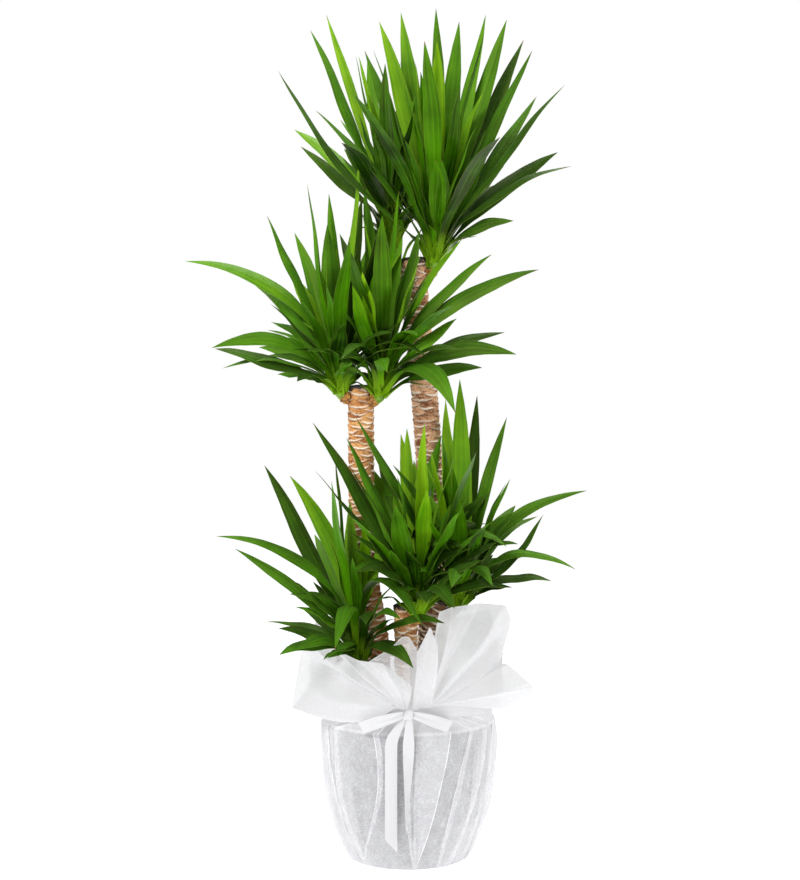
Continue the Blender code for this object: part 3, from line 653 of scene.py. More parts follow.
def from_middle(tree, value):
    return calc(tree, "ABSOLUTE", calc(tree, "SUBTRACT", value, 0.5))


def mix_colour(tree, share, a, b):
    return add_node(tree, "Mix", {0: share, 6: a, 7: b}, data_type="RGBA").outputs[2]


def ramp(tree, value, *stops):
    """A smooth ramp: each stop is (position, brightness)."""
    made = add_node(tree, "ValToRGB", {0: value})
    for point, (position, level) in zip(made.color_ramp.elements, stops):
        point.position = position
        point.color = (level, level, level, 1.0)
    return made.outputs[0]


def stretched(tree, vector, scale):
    return add_node(tree, "Mapping", {"Vector": vector, "Scale": scale}).outputs[0]


def cloudy(tree, vector, scale, detail=3.0, roughness=0.55):
    return add_node(tree, "TexNoise", {"Vector": vector, "Scale": scale, "Detail": detail,
                                       "Roughness": roughness}).outputs[0]


def new_material(name):
    material = bpy.data.materials.new(name)
    material.use_nodes = True
    tree = material.node_tree
    return material, tree, tree.nodes["Principled BSDF"]


def bump(tree, shader, height, strength, distance):
    made = add_node(tree, "Bump", {"Height": height, "Strength": strength, "Distance": distance})
    feed(tree, shader, Normal=made.outputs[0])


SOCKET_KINDS = {"Place": "Vector", "Under": "Color", "Over": "Color", "Tan": "Color", "Brown": "Color",
                "Dark": "Color", "Color": "Color", "Glow": "Color"}


def new_effect(name, inputs, outputs):
    """An effect that several finishes share: a node group with named sockets."""
    group = bpy.data.node_groups.new(name, "ShaderNodeTree")
    for way, sockets in (("INPUT", inputs), ("OUTPUT", outputs)):
        for socket in sockets:
            kind = f"NodeSocket{SOCKET_KINDS.get(socket, 'Float')}"
            group.interface.new_socket(socket, in_out=way, socket_type=kind)
    return group, group.nodes.new("NodeGroupInput").outputs, group.nodes.new("NodeGroupOutput")


def use_effect(tree, group, **values):
    return feed(tree, add_node(tree, "Group", node_tree=group), **values).outputs


def object_place(tree):
    return add_node(tree, "TexCoord").outputs["Object"]


def surface_uv(tree):
    """The place on a piece's own surface, and its two numbers: across and along."""
    uv = add_node(tree, "UVMap", uv_map="surface").outputs[0]
    apart = add_node(tree, "SeparateXYZ", {0: uv}).outputs
    return uv, apart[0], apart[1]


def split_marks(tree):
    """The four numbers kept at each point."""
    read = add_node(tree, "Attribute", attribute_name="marks")
    parts = add_node(tree, "SeparateColor", {0: read.outputs["Color"]}).outputs
    return parts[0], parts[1], parts[2], read.outputs["Alpha"]


# ---- finishes ---------------------------------------------------------------------------

def mottle_effect():
    """Clouds of one colour over another: dust, scuffs, patches of wood or damp."""
    group, given, result = new_effect("mottle", ("Place", "Size", "Start", "End", "Under", "Over"),
                                      ("Color", "Mask", "Height"))
    cloud = cloudy(group, given["Place"], given["Size"], 4.0, 0.65)
    mask = add_node(group, "MapRange", {"Value": cloud, "From Min": given["Start"],
                                        "From Max": given["End"]}).outputs[0]
    feed(group, result, Mask=mask, Height=cloud,
         Color=mix_colour(group, mask, given["Under"], given["Over"]))
    return group


def leaf_material():
    """Deep green with fine ribs along it, a yellow-green base and a thin pale edge."""
    material, tree, shader = new_material("yucca_leaf")
    uv, across, along = surface_uv(tree)
    tone, under, dry, from_foot = split_marks(tree)
    place = object_place(tree)

    ribs = cloudy(tree, stretched(tree, uv, (6.5, 0.8, 1.0)), 1.0, 4.0, 0.7)
    blotch = cloudy(tree, place, 14.0, 2.0)
    # a leaf's tone sets how dark or bright it is: partly its age, partly painted shade on outer leaves and
    # painted light on upright inner ones
    level = swing(tree, swing(tree, tone, ribs, 1.05), blotch, 0.60)
    darker = calc(tree, "MULTIPLY", level, 2.0, True)
    lighter = calc(tree, "MULTIPLY", calc(tree, "SUBTRACT", level, 0.5), 2.0, True)
    keel_away = from_middle(tree, across)
    foot = ramp(tree, plus(tree, from_foot, ribs, 0.15), (0.12, 1.0), (0.42, 0.0))
    tip = ramp(tree, along, (0.975, 0.0), (0.996, 1.0))
    green = (0.0030, 0.017, 0.0003)
    for mask, over in (
        (darker, (0.068, 0.238, 0.0015)),
        (lighter, (0.300, 0.560, 0.008)),
        (times(tree, under, 0.30), (0.080, 0.190, 0.020)),
        (ramp(tree, keel_away, (0.0, 0.30), (0.035, 0.0)), (0.100, 0.280, 0.012)),
        (ramp(tree, keel_away, (0.482, 0.0), (0.498, 0.40)), (0.220, 0.340, 0.040)),
        (times(tree, foot, 0.8), (0.210, 0.420, 0.008)),
        (times(tree, tip, dry), (0.160, 0.075, 0.025)),
    ):
        green = mix_colour(tree, mask, green, over)

    rough = plus(tree, plus(tree, 0.28, ribs, 0.16), under, 0.16)
    dents = cloudy(tree, stretched(tree, place, (24.0, 24.0, 18.0)), 1.0, 2.0)
    bump(tree, shader, plus(tree, dents, ribs, 0.10), 0.6, 0.0050)
    feed(tree, shader, Base_Color=green, Roughness=rough, Specular_IOR_Level=0.33,
         Specular_Tint=(0.78, 1.0, 0.18))
    return material


def bark_effect():
    """Corky flakes: fibrous, gritty, cracked below each pale leaf scar, with painted shade under each
    scar's ledge and a painted glow on the scars.
    """
    group, given, result = new_effect(
        "corky_bark", ("Place", "Scar", "Tone", "Groove", "Tan", "Brown", "Dark"),
        ("Color", "Roughness", "Height", "Glow"))
    place, scar = given["Place"], given["Scar"]
    fibre = cloudy(group, stretched(group, place, (70.0, 70.0, 420.0)), 1.0, 4.0, 0.7)
    patch = cloudy(group, stretched(group, place, (45.0, 45.0, 130.0)), 1.0, 3.0, 0.6)
    grit = cloudy(group, place, 340.0, 3.0, 0.7)
    level = 0.5
    for pattern, weight in ((given["Tone"], 1.0), (patch, 2.2), (fibre, 1.8), (grit, 2.6)):
        level = swing(group, level, pattern, weight)
    colour = mix_colour(group, calc(group, "ADD", level, 0.0, True), given["Brown"], given["Tan"])
    # the dark band below each scar: partly a crack, partly painted shade under the scar's ledge
    crack_and_shade = calc(group, "MULTIPLY", given["Groove"], ramp(group, fibre, (0.30, 1.0), (0.70, 0.6)), True)
    for mask in (crack_and_shade, ramp(group, fibre, (0.28, 0.85), (0.42, 0.0)),
                 ramp(group, grit, (0.30, 0.9), (0.42, 0.0))):
        colour = mix_colour(group, mask, colour, given["Dark"])
    broken = calc(group, "MULTIPLY", scar, ramp(group, fibre, (0.28, 0.65), (0.46, 1.2)), True)
    height = plus(group, times(group, fibre, 0.6), grit, 0.4)
    # the scars also glow a little: painted light that makes them brighter than the lamps alone would
    feed(group, result, Color=mix_colour(group, broken, colour, (0.95, 0.86, 0.74)),
         Roughness=plus(group, 0.62, patch, 0.3),
         Height=times(group, height, calc(group, "SUBTRACT", 1.0, scar)),
         Glow=mix_colour(group, times(group, broken, 0.22), (0, 0, 0), (1.0, 0.88, 0.72)))
    return group


def bark_material(name, tan, brown, dark):
    material, tree, shader = new_material(name)
    scar, tone, groove_shade, _ = split_marks(tree)
    bark = use_effect(tree, CORKY_BARK, Place=object_place(tree), Scar=scar, Tone=tone, Groove=groove_shade,
                      Tan=tan, Brown=brown, Dark=dark)
    bump(tree, shader, bark["Height"], 0.8, 0.0016)
    # the emission carries the scars' painted glow
    feed(tree, shader, Base_Color=bark["Color"], Roughness=bark["Roughness"], Emission_Color=bark["Glow"],
         Emission_Strength=1.0, Specular_IOR_Level=0.25)
    return material


def stem_material():
    """Young green stem, brown and corky where it leaves the cane."""
    material, tree, shader = new_material("young_stem")
    woody, ring, _, _ = split_marks(tree)
    place = object_place(tree)
    skin = use_effect(tree, MOTTLE, Place=place, Size=90.0, Start=0.35, End=0.65,
                      Under=(0.085, 0.230, 0.004), Over=(0.26, 0.48, 0.010))
    wood = use_effect(tree, MOTTLE, Place=place, Size=150.0, Start=0.38, End=0.62,
                      Under=(0.10, 0.035, 0.008), Over=(0.66, 0.30, 0.06))
    green = mix_colour(tree, times(tree, ring, 0.7), skin["Color"], (0.05, 0.10, 0.01))
    bump(tree, shader, wood["Height"], 0.4, 0.0012)
    feed(tree, shader, Base_Color=mix_colour(tree, woody, green, wood["Color"]),
         Roughness=plus(tree, 0.42, woody, 0.35))
    return material


def wax_material():
    """Near-black sealing wax, run down and dusty."""
    material, tree, shader = new_material("sealing_wax")
    dust = use_effect(tree, MOTTLE, Place=object_place(tree), Size=120.0, Start=0.48, End=0.78,
                      Under=(0.022, 0.014, 0.008), Over=(0.105, 0.075, 0.046))
    bump(tree, shader, dust["Height"], 0.6, 0.0014)
    feed(tree, shader, Base_Color=dust["Color"], Roughness=plus(tree, 0.50, dust["Mask"], 0.3))
    return material


def matted_hairs(tree, place):
    """Fine curling hairs, where the middle of a twisted cloud runs."""
    hair = 0.0
    for size, height in ((38.0, 1.0), (55.0, 1.35), (84.0, 1.15)):
        spot = stretched(tree, place, (1.0, 1.0, height))
        swirl = add_node(tree, "TexNoise", {"Vector": spot, "Scale": size, "Detail": 2.0,
                                            "Distortion": 2.2}).outputs[0]
        hair = calc(tree, "MAXIMUM", hair, ramp(tree, from_middle(tree, swirl), (0.006, 1.0), (0.022, 0.0)))
    return hair


def fleece_material():
    """Thin white non-woven fleece: matted fibres, half seen through, thickest where it is gathered; a
    painted glow stands in for light through it, on the collar and along fold edges.
    """
    material, tree, shader = new_material("white_fleece")
    place = object_place(tree)
    fold_edge_and_glow, reach, above, layers = split_marks(tree)
    cloud = cloudy(tree, place, 38.0, 3.0, 0.6)
    fine = cloudy(tree, place, 330.0, 3.0, 0.7)
    dense = plus(tree, times(tree, cloud, 0.45), fine, 0.55)
    edge_on = add_node(tree, "LayerWeight", {"Blend": 0.35}).outputs["Facing"]

    alpha = plus(tree, ramp(tree, dense, (0.32, 0.28), (0.68, 0.42)), matted_hairs(tree, place), 0.13)
    even = times(tree, above, 0.65)
    alpha = plus(tree, alpha, even, calc(tree, "SUBTRACT", 0.74, alpha))
    gathered = ramp(tree, reach, (0.05, 0.26), (0.80, 0.03))
    alpha = times(tree, plus(tree, alpha, above, gathered), layers)
    alpha = plus(tree, alpha, ramp(tree, edge_on, (0.12, 0.0), (0.78, 1.0)), 0.38)
    faint = ramp(tree, cloud, (0.40, 0.45), (0.60, 1.0))
    hem = ramp(tree, reach, (0.975, 0.0), (0.987, 0.4))
    drawn = calc(tree, "ADD", times(tree, fold_edge_and_glow, faint), hem, True)
    alpha = plus(tree, alpha, drawn, calc(tree, "SUBTRACT", 0.85, alpha))

    # over the pot a pale grey; on the collar a darker grey, made up by the painted glow below that stands
    # in for light shining through the fleece
    over_pot = mix_colour(tree, fine, (0.72, 0.72, 0.745), (0.78, 0.78, 0.795))
    collar = mix_colour(tree, fine, (0.34, 0.34, 0.352), (0.41, 0.41, 0.42))
    # painted light: an even glow, brightest on the collar and along the fold edges
    painted_glow = plus(tree, plus(tree, 0.04, above, 0.35), fold_edge_and_glow, times(tree, faint, 0.20))
    bump(tree, shader, dense, 0.25, 0.0005)
    feed(tree, shader, Base_Color=mix_colour(tree, above, over_pot, collar),
         Alpha=calc(tree, "MINIMUM", alpha, 0.90), Roughness=0.9, Specular_IOR_Level=0.1,
         Emission_Color=mix_colour(tree, painted_glow, (0, 0, 0), (1, 1, 1)), Emission_Strength=1.0)
    return material


def satin_material():
    """White satin ribbon: fine weft lines, a soft shine and a corded edge."""
    material, tree, shader = new_material("white_satin")
    uv, across, along = surface_uv(tree)
    weft = plus(tree, 0.5, calc(tree, "SINE", times(tree, along, 900.0)), 0.5)
    streak = cloudy(tree, stretched(tree, uv, (40.0, 2.0, 1.0)), 1.0, 2.0)
    selvedge = ramp(tree, from_middle(tree, across), (0.44, 0.0), (0.47, 1.0))
    bump(tree, shader, plus(tree, selvedge, weft, 0.25), 0.3, 0.0004)
    feed(tree, shader, Base_Color=mix_colour(tree, streak, (0.50, 0.50, 0.518), (0.66, 0.66, 0.672)),
         Roughness=plus(tree, 0.30, streak, 0.22), Specular_IOR_Level=0.5)
    return material


def pot_material():
    """Matte moulded plastic, near black, with faint scuffs."""
    material, tree, shader = new_material("dark_pot")
    place = object_place(tree)
    scuff = use_effect(tree, MOTTLE, Place=stretched(tree, place, (30.0, 30.0, 90.0)), Size=1.0, Start=0.5,
                       End=0.8, Under=(0.040, 0.040, 0.047), Over=(0.085, 0.085, 0.090))
    bump(tree, shader, cloudy(tree, place, 700.0, 2.0), 0.25, 0.0003)
    feed(tree, shader, Base_Color=scuff["Color"], Roughness=plus(tree, 0.48, scuff["Mask"], 0.2))
    return material


def soil_material():
    """Damp peat compost: dark crumbs, fibres and a few pale grains."""
    material, tree, shader = new_material("compost")
    place = object_place(tree)
    clods = add_node(tree, "TexVoronoi", {"Vector": place, "Scale": 170.0}).outputs[0]
    fine = use_effect(tree, MOTTLE, Place=place, Size=330.0, Start=0.2, End=0.8,
                      Under=(0.018, 0.011, 0.007), Over=(0.085, 0.052, 0.030))
    pale = use_effect(tree, MOTTLE, Place=place, Size=240.0, Start=0.70, End=0.74,
                      Under=(0.0, 0.0, 0.0), Over=(0.24, 0.17, 0.11))
    bump(tree, shader, plus(tree, fine["Height"], clods, 0.8), 1.0, 0.003)
    feed(tree, shader, Base_Color=mix_colour(tree, pale["Mask"], fine["Color"], pale["Color"]),
         Roughness=0.92)
    return material


MOTTLE, CORKY_BARK = mottle_effect(), bark_effect()
LEAF = leaf_material()
BARK = {
    "tall": bark_material("bark_reddish", (0.78, 0.44, 0.25), (0.23, 0.080, 0.030), (0.020, 0.006, 0.003)),
    "medium": bark_material("bark_orange", (0.76, 0.39, 0.14), (0.34, 0.110, 0.026), (0.036, 0.012, 0.003)),
    "short_front": bark_material("bark_tan", (0.84, 0.48, 0.20), (0.40, 0.160, 0.050),
                                 (0.040, 0.015, 0.005)),
    "short_right": bark_material("bark_brown", (0.44, 0.23, 0.12), (0.15, 0.062, 0.026),
                                 (0.016, 0.007, 0.002)),
}
STEM, WAX = stem_material(), wax_material()
FLEECE, SATIN = fleece_material(), satin_material()
POT, SOIL = pot_material(), soil_material()


# ---- pot and compost --------------------------------------------------------------------

POT_SIDES, POT_RINGS = 96, 14
LIP = 0.0022  # how far below its top the rim starts to round over
BEAD = 0.0145  # height of the straight band round the rim
CRUMBS, CRUMB_REACH = 420, 0.138


def pot_outline():
    """Radius and height round the wall: across the base, up, over the rim and down inside."""
    floor = FLEECE_THICKNESS + GAP
    heights = [floor + (POT_HEIGHT - floor) * i / POT_RINGS for i in range(POT_RINGS - 1)]
    base, rim, top = POT_BASE_RADIUS, POT_RIM_RADIUS, POT_HEIGHT
    return [
        (base - 0.010, floor), (base - 0.002, floor + 0.0006), *((pot_radius(z), z) for z in heights),
        (rim - 0.0012, top - BEAD - 0.0015), (rim, top - BEAD), (rim, top - LIP), (rim - 0.001, top),
        (rim - 0.0035, top), (rim - 0.0045, top - 0.003),
        *((pot_radius(z) - POT_WALL, z) for z in reversed(heights[1:])),
        (base - POT_WALL - 0.002, floor + POT_WALL),
    ]


def model_pot():
    """A disc drawn up ring by ring along the wall's outline."""
    outline = pot_outline()
    pot = primitive("pot_body", bpy.ops.mesh.primitive_circle_add, vertices=POT_SIDES,
                    radius=outline[0][0], location=(0, 0, outline[0][1]), fill_type="NGON")
    bpy.ops.object.transform_apply()
    bpy.ops.object.mode_set(mode="EDIT")
    bpy.ops.mesh.select_all(action="SELECT")
    for (radius, height), (next_radius, next_height) in zip(outline, outline[1:]):
        bpy.ops.mesh.extrude_region_move(TRANSFORM_OT_translate={"value": (0, 0, next_height - height)})
        grow = next_radius / radius
        bpy.ops.transform.resize(value=(grow, grow, 1), center_override=(0, 0, next_height))
    bpy.ops.object.mode_set(mode="OBJECT")
    edit_whole(pot, face_out)
    finish(pot, 35, POT, "pot_plastic", "pot")


def soil_height(radius):
    """The compost's top: a low mound round the canes, falling away to the pot's wall."""
    if radius < 0.07:
        return SOIL_TOP + SOIL_MOUND * (1 - 0.4 * radius / 0.07)
    return SOIL_TOP + 0.6 * SOIL_MOUND * (0.146 - radius) / 0.076


def model_crumbs():
    """Loose crumbs of compost and bark chips on the soil."""
    dice = random.Random(5)
    crumb = primitive("crumb", bpy.ops.mesh.primitive_ico_sphere_add, subdivisions=1, radius=1)
    round_points = read_points(crumb)
    crumbs = []
    while len(crumbs) < CRUMBS:
        radius, turn = CRUMB_REACH * math.sqrt(dice.random()), dice.uniform(0, 2 * math.pi)
        x, y = radius * math.cos(turn), radius * math.sin(turn)
        if any((Vector((x, y)) - cane_point(cane, SOIL_TOP + 0.006).xy).length < cane.radius + 0.006
               for cane in CANES.values()):
            continue
        size = dice.uniform(0.0016, 0.0046)
        spin = Matrix.Rotation(dice.uniform(0, 6.3), 3, "Z")
        spin = spin @ Matrix.Rotation(dice.uniform(-0.5, 0.5), 3, "X")
        stretch = Vector((dice.uniform(0.8, 2.0), dice.uniform(0.6, 1.0), dice.uniform(0.4, 0.7))) * size
        bumps = [1 + dice.uniform(-0.22, 0.22) for _ in round_points]
        middle = Vector((x, y, soil_height(radius) + 0.35 * size))
        copy = copy_of(crumb)
        place_points(copy, [middle + spin @ Vector(spot * stretch) * bump_out
                            for spot, bump_out in zip(round_points, bumps)])
        crumbs.append(copy)
    bpy.data.objects.remove(crumb)
    finish(joined("soil_crumbs", crumbs), 60, SOIL, "soil")


# ---- canes ------------------------------------------------------------------------------

BARK_ACROSS = 60
BARK_ROW = 0.00115  # height of one row of bark
BURIED_ROWS = 5


def frames_along(path, shares):
    """Centre, side and front at shares of a path's length, as arrays, and the length."""
    line = np.array([tuple(p) for p in path])
    steps = np.linalg.norm(np.diff(line, axis=0), axis=1)
    run = np.concatenate([[0], np.cumsum(steps)])
    wanted = np.asarray(shares) * run[-1]
    centre, ahead, behind = (np.stack([np.interp(wanted + reach, run, line[:, k]) for k in range(3)], 1)
                             for reach in (0, 0.004, -0.004))
    tangent = ahead - behind
    tangent /= np.linalg.norm(tangent, axis=1)[:, None]
    side = np.array([1.0, 0, 0]) - tangent * tangent[:, :1]
    side /= np.linalg.norm(side, axis=1)[:, None]
    return centre, side, np.cross(tangent, side), run[-1]


def bark_relief(turns, runs, seed):
    """How far the bark stands out, and how much each point is scar, pale flake, and crack with painted
    shade below the scar's ledge.
    """
    dice = random.Random(seed)
    relief, scar, groove_shade, best = (np.zeros_like(turns) for _ in range(4))
    tone = np.full_like(turns, 0.5)
    ring = [(math.cos(a), math.sin(a), r) for a, r in zip(turns, runs)]
    warp = np.array([lumpy(c * 3.2, s * 3.2, r * 45 + seed) for c, s, r in ring]) * 0.0012
    warp += np.array([lumpy(c * 11, s * 11, r * 90 - seed) for c, s, r in ring]) * 0.0005
    run, order = runs.min(), 0
    while run < runs.max() + 0.01:
        # one leaf scar: where it is, how it curves and tilts, and how plainly it shows
        run += dice.uniform(0.0021, 0.0034)
        order += 1
        middle = math.radians(GOLDEN_TURN * order + dice.uniform(-20, 20))
        spread = math.radians(dice.uniform(34, 58))
        smile = dice.uniform(0.0020, 0.0056)
        tilt = dice.uniform(-0.0016, 0.0016)
        strength = dice.choice((0.45, 0.8, 1.0, 1.0, 1.0))
        breadth = dice.uniform(0.0006, 0.0013)
        flake = dice.random()
        away = (turns - middle + math.pi) % (2 * math.pi) - math.pi
        share = away / spread
        window = np.clip(1 - share ** 2, 0, 1)
        height = runs - run - smile * share ** 2 - tilt * share + warp
        near = (window > 0) & (np.abs(height) < 0.018)
        if not near.any():
            continue
        w, h = window[near], height[near]
        relief[near] += w * np.where(h > 0, -0.0020 * np.exp(-h / 0.0040), 0.0019 * np.exp(h / 0.0022))
        line = strength * np.sqrt(w) * np.exp(-((h - 0.0002) / (0.0006 + 0.8 * breadth * w)) ** 2)
        scar[near] = np.maximum(scar[near], line)
        # the band below the scar's ledge: partly a crack, partly painted shade
        shadow = np.sqrt(w) * np.exp(-((h + 0.0022) / 0.0010) ** 2) * (0.75 + 0.25 * flake)
        groove_shade[near] = np.maximum(groove_shade[near], shadow)
        pull = w * np.exp(-np.abs(h - 0.004) / 0.006)
        stronger = pull > best[near]
        places = np.flatnonzero(near)[stronger]
        tone[places] = flake
        best[places] = pull[stronger]
    return relief, scar, tone, groove_shade * (1 - scar)


def model_cane(name, seed):
    """A cane in its bark: coarse rows in the soil, then fine ones up to a rounded top."""
    cane = CANES[name]
    path = smooth_path(cane.path, 12)
    length = frames_along(path, [0, 1])[-1]
    buried = (SOIL_TOP - 0.006 - CANE_DEPTH) / length
    fine = int(length * (1 - buried) / BARK_ROW)
    along = fine + BURIED_ROWS
    bark = flat_grid(f"bark_{name}", BARK_ACROSS, along)
    flat = read_points(bark)
    rows = np.rint((flat[:, 1] + 0.5) * along).astype(int)
    shares = np.concatenate([np.linspace(0, buried, BURIED_ROWS, endpoint=False),
                             np.linspace(buried, 1, fine + 1)])
    turns = 2 * math.pi * (flat[:, 0] + 0.5)
    centre, side, front, length = frames_along(path, shares)
    runs = shares[rows] * length
    relief, scar, tone, groove_shade = bark_relief(turns, runs, seed)
    centre, side, front = centre[rows], side[rows], front[rows]
    out = side * np.cos(turns)[:, None] + front * np.sin(turns)[:, None]
    face = centre + out * cane.radius
    lumps = np.array([lumpy(*spot) for spot in face * 22 + seed])
    fine_lumps = np.array([lumpy(*spot) for spot in face * 210 + seed])
    radius = cane.radius + relief + 0.0010 * lumps + 0.0005 * fine_lumps
    near_top = np.clip((runs - length + 0.004) / 0.004, 0, 1)
    radius -= 0.003 * near_top ** 2
    place_points(bark, centre + out * radius[:, None])
    mark(bark, np.stack([scar, tone, groove_shade, np.ones_like(scar)], 1))
    edit_whole(bark, weld, close_ends, face_out)
    finish(bark, 60, BARK[name], "bark", f"cane_{name}")


WAX_DRIPS = {"tall": 0.011, "medium": 0.015, "short_front": 0.007, "short_right": 0.009}
WAX_DOME = 0.0042


def model_wax(name, seed):
    """The dark seal on a sawn top: a low dome that has run down the bark in places."""
    cane = CANES[name]
    path = smooth_path(cane.path, 12)
    top = path[-1]
    turn_to = (top - path[-2]).normalized().to_track_quat("Z", "Y").to_matrix()
    outer = cane.radius + 0.0021

    def place(across, along):
        x, y = around(360 * across)
        drip = max(0.0, lumpy(x * 2.6, y * 2.6, seed * 3.1) + 0.10)
        drip += 0.25 * max(0.0, lumpy(x * 7, y * 7, seed * 1.7))
        skirt = 0.0025 + WAX_DRIPS[name] * drip
        t = along / 0.5
        radius, height = outer * t ** 0.9, WAX_DOME * (1 - t ** 3)
        if along >= 0.5:
            t -= 1
            radius, height = outer - 0.0006 * t, -skirt * t
        wobble = 0.0006 * lumpy(radius * 300 * x, radius * 300 * y, height * 200 + seed)
        return top + turn_to @ Vector((radius * x, radius * y, height + wobble))

    wax = laid_out(f"wax_seal_{name}", 48, 16, place)
    edit_whole(wax, weld, face_out)
    apply_modifier(wax, "SOLIDIFY", thickness=0.0012, offset=-1)
    finish(wax, 50, WAX, "wax", f"wax_{name}")


# ---- shoots -----------------------------------------------------------------------------

STEM_ACROSS, STEM_ALONG = 24, 72
RING_STEP = 0.0058  # between the rings that old leaves left on a stem
CORKY_FOOT = 0.0125  # length of the brown foot of a stem


def model_shoot(name, seed):
    """A young stem: corky where it leaves the cane, ringed, ending in the bud."""
    crown = CROWNS[name]
    bud = Vector(crown.foot) + Vector(crown.lean).normalized() * (2 * TIER_STEP + BUD_HEIGHT)
    stem = flat_grid(f"stem_{name}", STEM_ACROSS, STEM_ALONG)
    shares = np.linspace(0, 1, STEM_ALONG + 1)
    centre, side, front, length = frames_along([*shoot_path(crown), bud], shares)
    body = 1 - (BUD_HEIGHT + GAP) / length
    points, marks = [], []
    for x, y, _ in read_points(stem):
        row = round((y + 0.5) * STEM_ALONG)
        share, angle = row / STEM_ALONG, 2 * math.pi * (x + 0.5)
        c, s, run = math.cos(angle), math.sin(angle), share * length
        ragged = 0.0035 * lumpy(c * 2.2, s * 2.2, seed * 5.0)
        woody = min(max((CORKY_FOOT + ragged - run) / 0.0025, 0), 1)
        ring = max(0.0, math.sin(run / RING_STEP * 2 * math.pi + 0.6 * math.sin(angle + seed))) ** 4
        radius = crown.girth * (1 + 0.22 * woody + 0.045 * ring)
        if share > body:
            t = (share - body) / (1 - body)
            radius = (crown.girth - 0.0008) * math.sqrt(max(1 - t ** 1.4, 0.0))
        out = side[row] * c + front[row] * s
        spot = centre[row] + out * radius
        points.append(spot + out * woody * 0.0012 * lumpy(*(spot * 260)))
        marks.append((woody, ring, 0.0, 1.0))
    place_points(stem, points)
    mark(stem, marks)
    edit_whole(stem, weld, close_ends, face_out)
    finish(stem, 60, STEM, "shoot", f"shoot_{name}")


# ---- leaves -----------------------------------------------------------------------------

# A blade's outline: share of its length, share of its widest.
BLADE_OUTLINE = ((0.0, 0.60), (0.05, 0.38), (0.12, 0.35), (0.22, 0.53), (0.36, 0.84), (0.50, 1.0),
                 (0.62, 0.97), (0.74, 0.80), (0.85, 0.53), (0.93, 0.28), (0.975, 0.11), (1.0, 0.0))
BLADE_ACROSS, BLADE_ALONG = 6, 28
FULLNESS = 1.14  # a blade's width beside its stiff stand-in's
CLASP = 0.042  # length of the foot that wraps round the stem
# each tier's tones, outer to inner: partly the leaves' age, partly painted shade that deepens the outer
# tiers
TONES_AND_SHADING = ((-0.04, 0.06, 0.18, 0.32), (0.02, 0.18, 0.34, 0.50), (0.22, 0.40, 0.54, 0.74))
TRIES = 6  # for a filling leaf to find a place clear of wood and wrap


def blade_half(share):
    """Half the blade's width at a share of its length, as a share of its widest."""
    for (a, wa), (b, wb) in zip(BLADE_OUTLINE, BLADE_OUTLINE[1:]):
        if share <= b:
            t = (share - a) / (b - a)
            if b < 1.0:
                t = t * t * (3 - 2 * t) * 0.5 + t * 0.5
            return wa + (wb - wa) * t
    return 0.0


def model_master_blade():
    """One flat blade with a top, an underside and thin edges; every leaf is a copy of it."""
    blade = flat_grid("blade", BLADE_ACROSS, BLADE_ALONG)
    apply_modifier(blade, "SOLIDIFY", thickness=0.02, offset=0)
    return blade


BladeRow = namedtuple("BladeRow", "share centre side up half curve")


def blade_row(crown, leaf, share, twist, sway, phase):
    """Where a blade runs at a share of its length, how wide it is there and how cupped."""
    axis = Vector(crown.lean).normalized()
    centre, side, up = leaf_frame(crown, leaf, share)
    clasp = max(1 - share * leaf.length / CLASP, 0.0)
    out = centre - Vector(crown.foot)
    out -= axis * out.dot(axis)
    centre -= axis * 0.012 * clasp * clasp + out.normalized() * 0.0030 * clasp ** 4
    turn = Matrix.Rotation(twist * share, 3, side.cross(up))
    side, up = turn @ side, turn @ up
    centre += side * sway * math.sin(math.pi * share)
    centre += up * 0.0022 * math.sin(9 * share + phase) * math.sin(math.pi * share)
    half = max(blade_half(share) * FULLNESS * leaf.width / 2, 0.00025)
    half += (max(0.0070, 0.75 * half) - half) * clasp
    curve = 1 / (crown.girth + 0.0015) * clasp + (1 - clasp) * (24 * (1 - share) ** 2 + 5)
    return BladeRow(share, centre, side, up, half, curve)


def bend_blade(master, crown, leaf, dice):
    """A copy of the master, bent along a leaf's own line."""
    twist = math.radians(dice.uniform(-24, 24))
    sway = dice.uniform(-0.007, 0.007)
    ripple, phase = dice.uniform(0.0004, 0.0014), dice.uniform(0, 6.3)
    channel = dice.uniform(0.04, 0.26)
    rows = [blade_row(crown, leaf, (row / BLADE_ALONG) ** 1.12, twist, sway, phase)
            for row in range(BLADE_ALONG + 1)]
    tone = leaf_tone_and_shading(crown, leaf, dice)
    dry = dice.choice((0.0, 0.3, 1.0))
    copy = copy_of(master)
    points, marks = [], []
    for x, y, z in read_points(copy):
        share, centre, side, up, half, curve = rows[round((y + 0.5) * BLADE_ALONG)]
        u, top = 2 * x, z > 0
        bend = min(abs(curve * half), 1.5) * u
        wave = ripple * math.sin(16 * share + phase + 2 * (u > 0)) * u * u * math.sin(math.pi * share)
        thick = (0.0010 + 0.0008 * max(1 - share / 0.12, 0)) * (1 - 0.6 * u * u)
        thick *= min(1, 12 * (1 - share) + 0.15)
        keel = 0.0 if top else 0.0011 * (1 - share) * (1 - min(abs(u) * 3, 1))
        rise = (1 - math.cos(bend)) / curve + wave + channel * abs(u) * half * (1 - 0.5 * share)
        rise += (0.5 if top else -0.5) * thick - keel
        points.append(centre + side * math.sin(bend) / curve + up * rise)
        marks.append((tone, 0.0 if top else 1.0, dry, share * leaf.length * 10))
    place_points(copy, points)
    mark(copy, marks)
    return copy


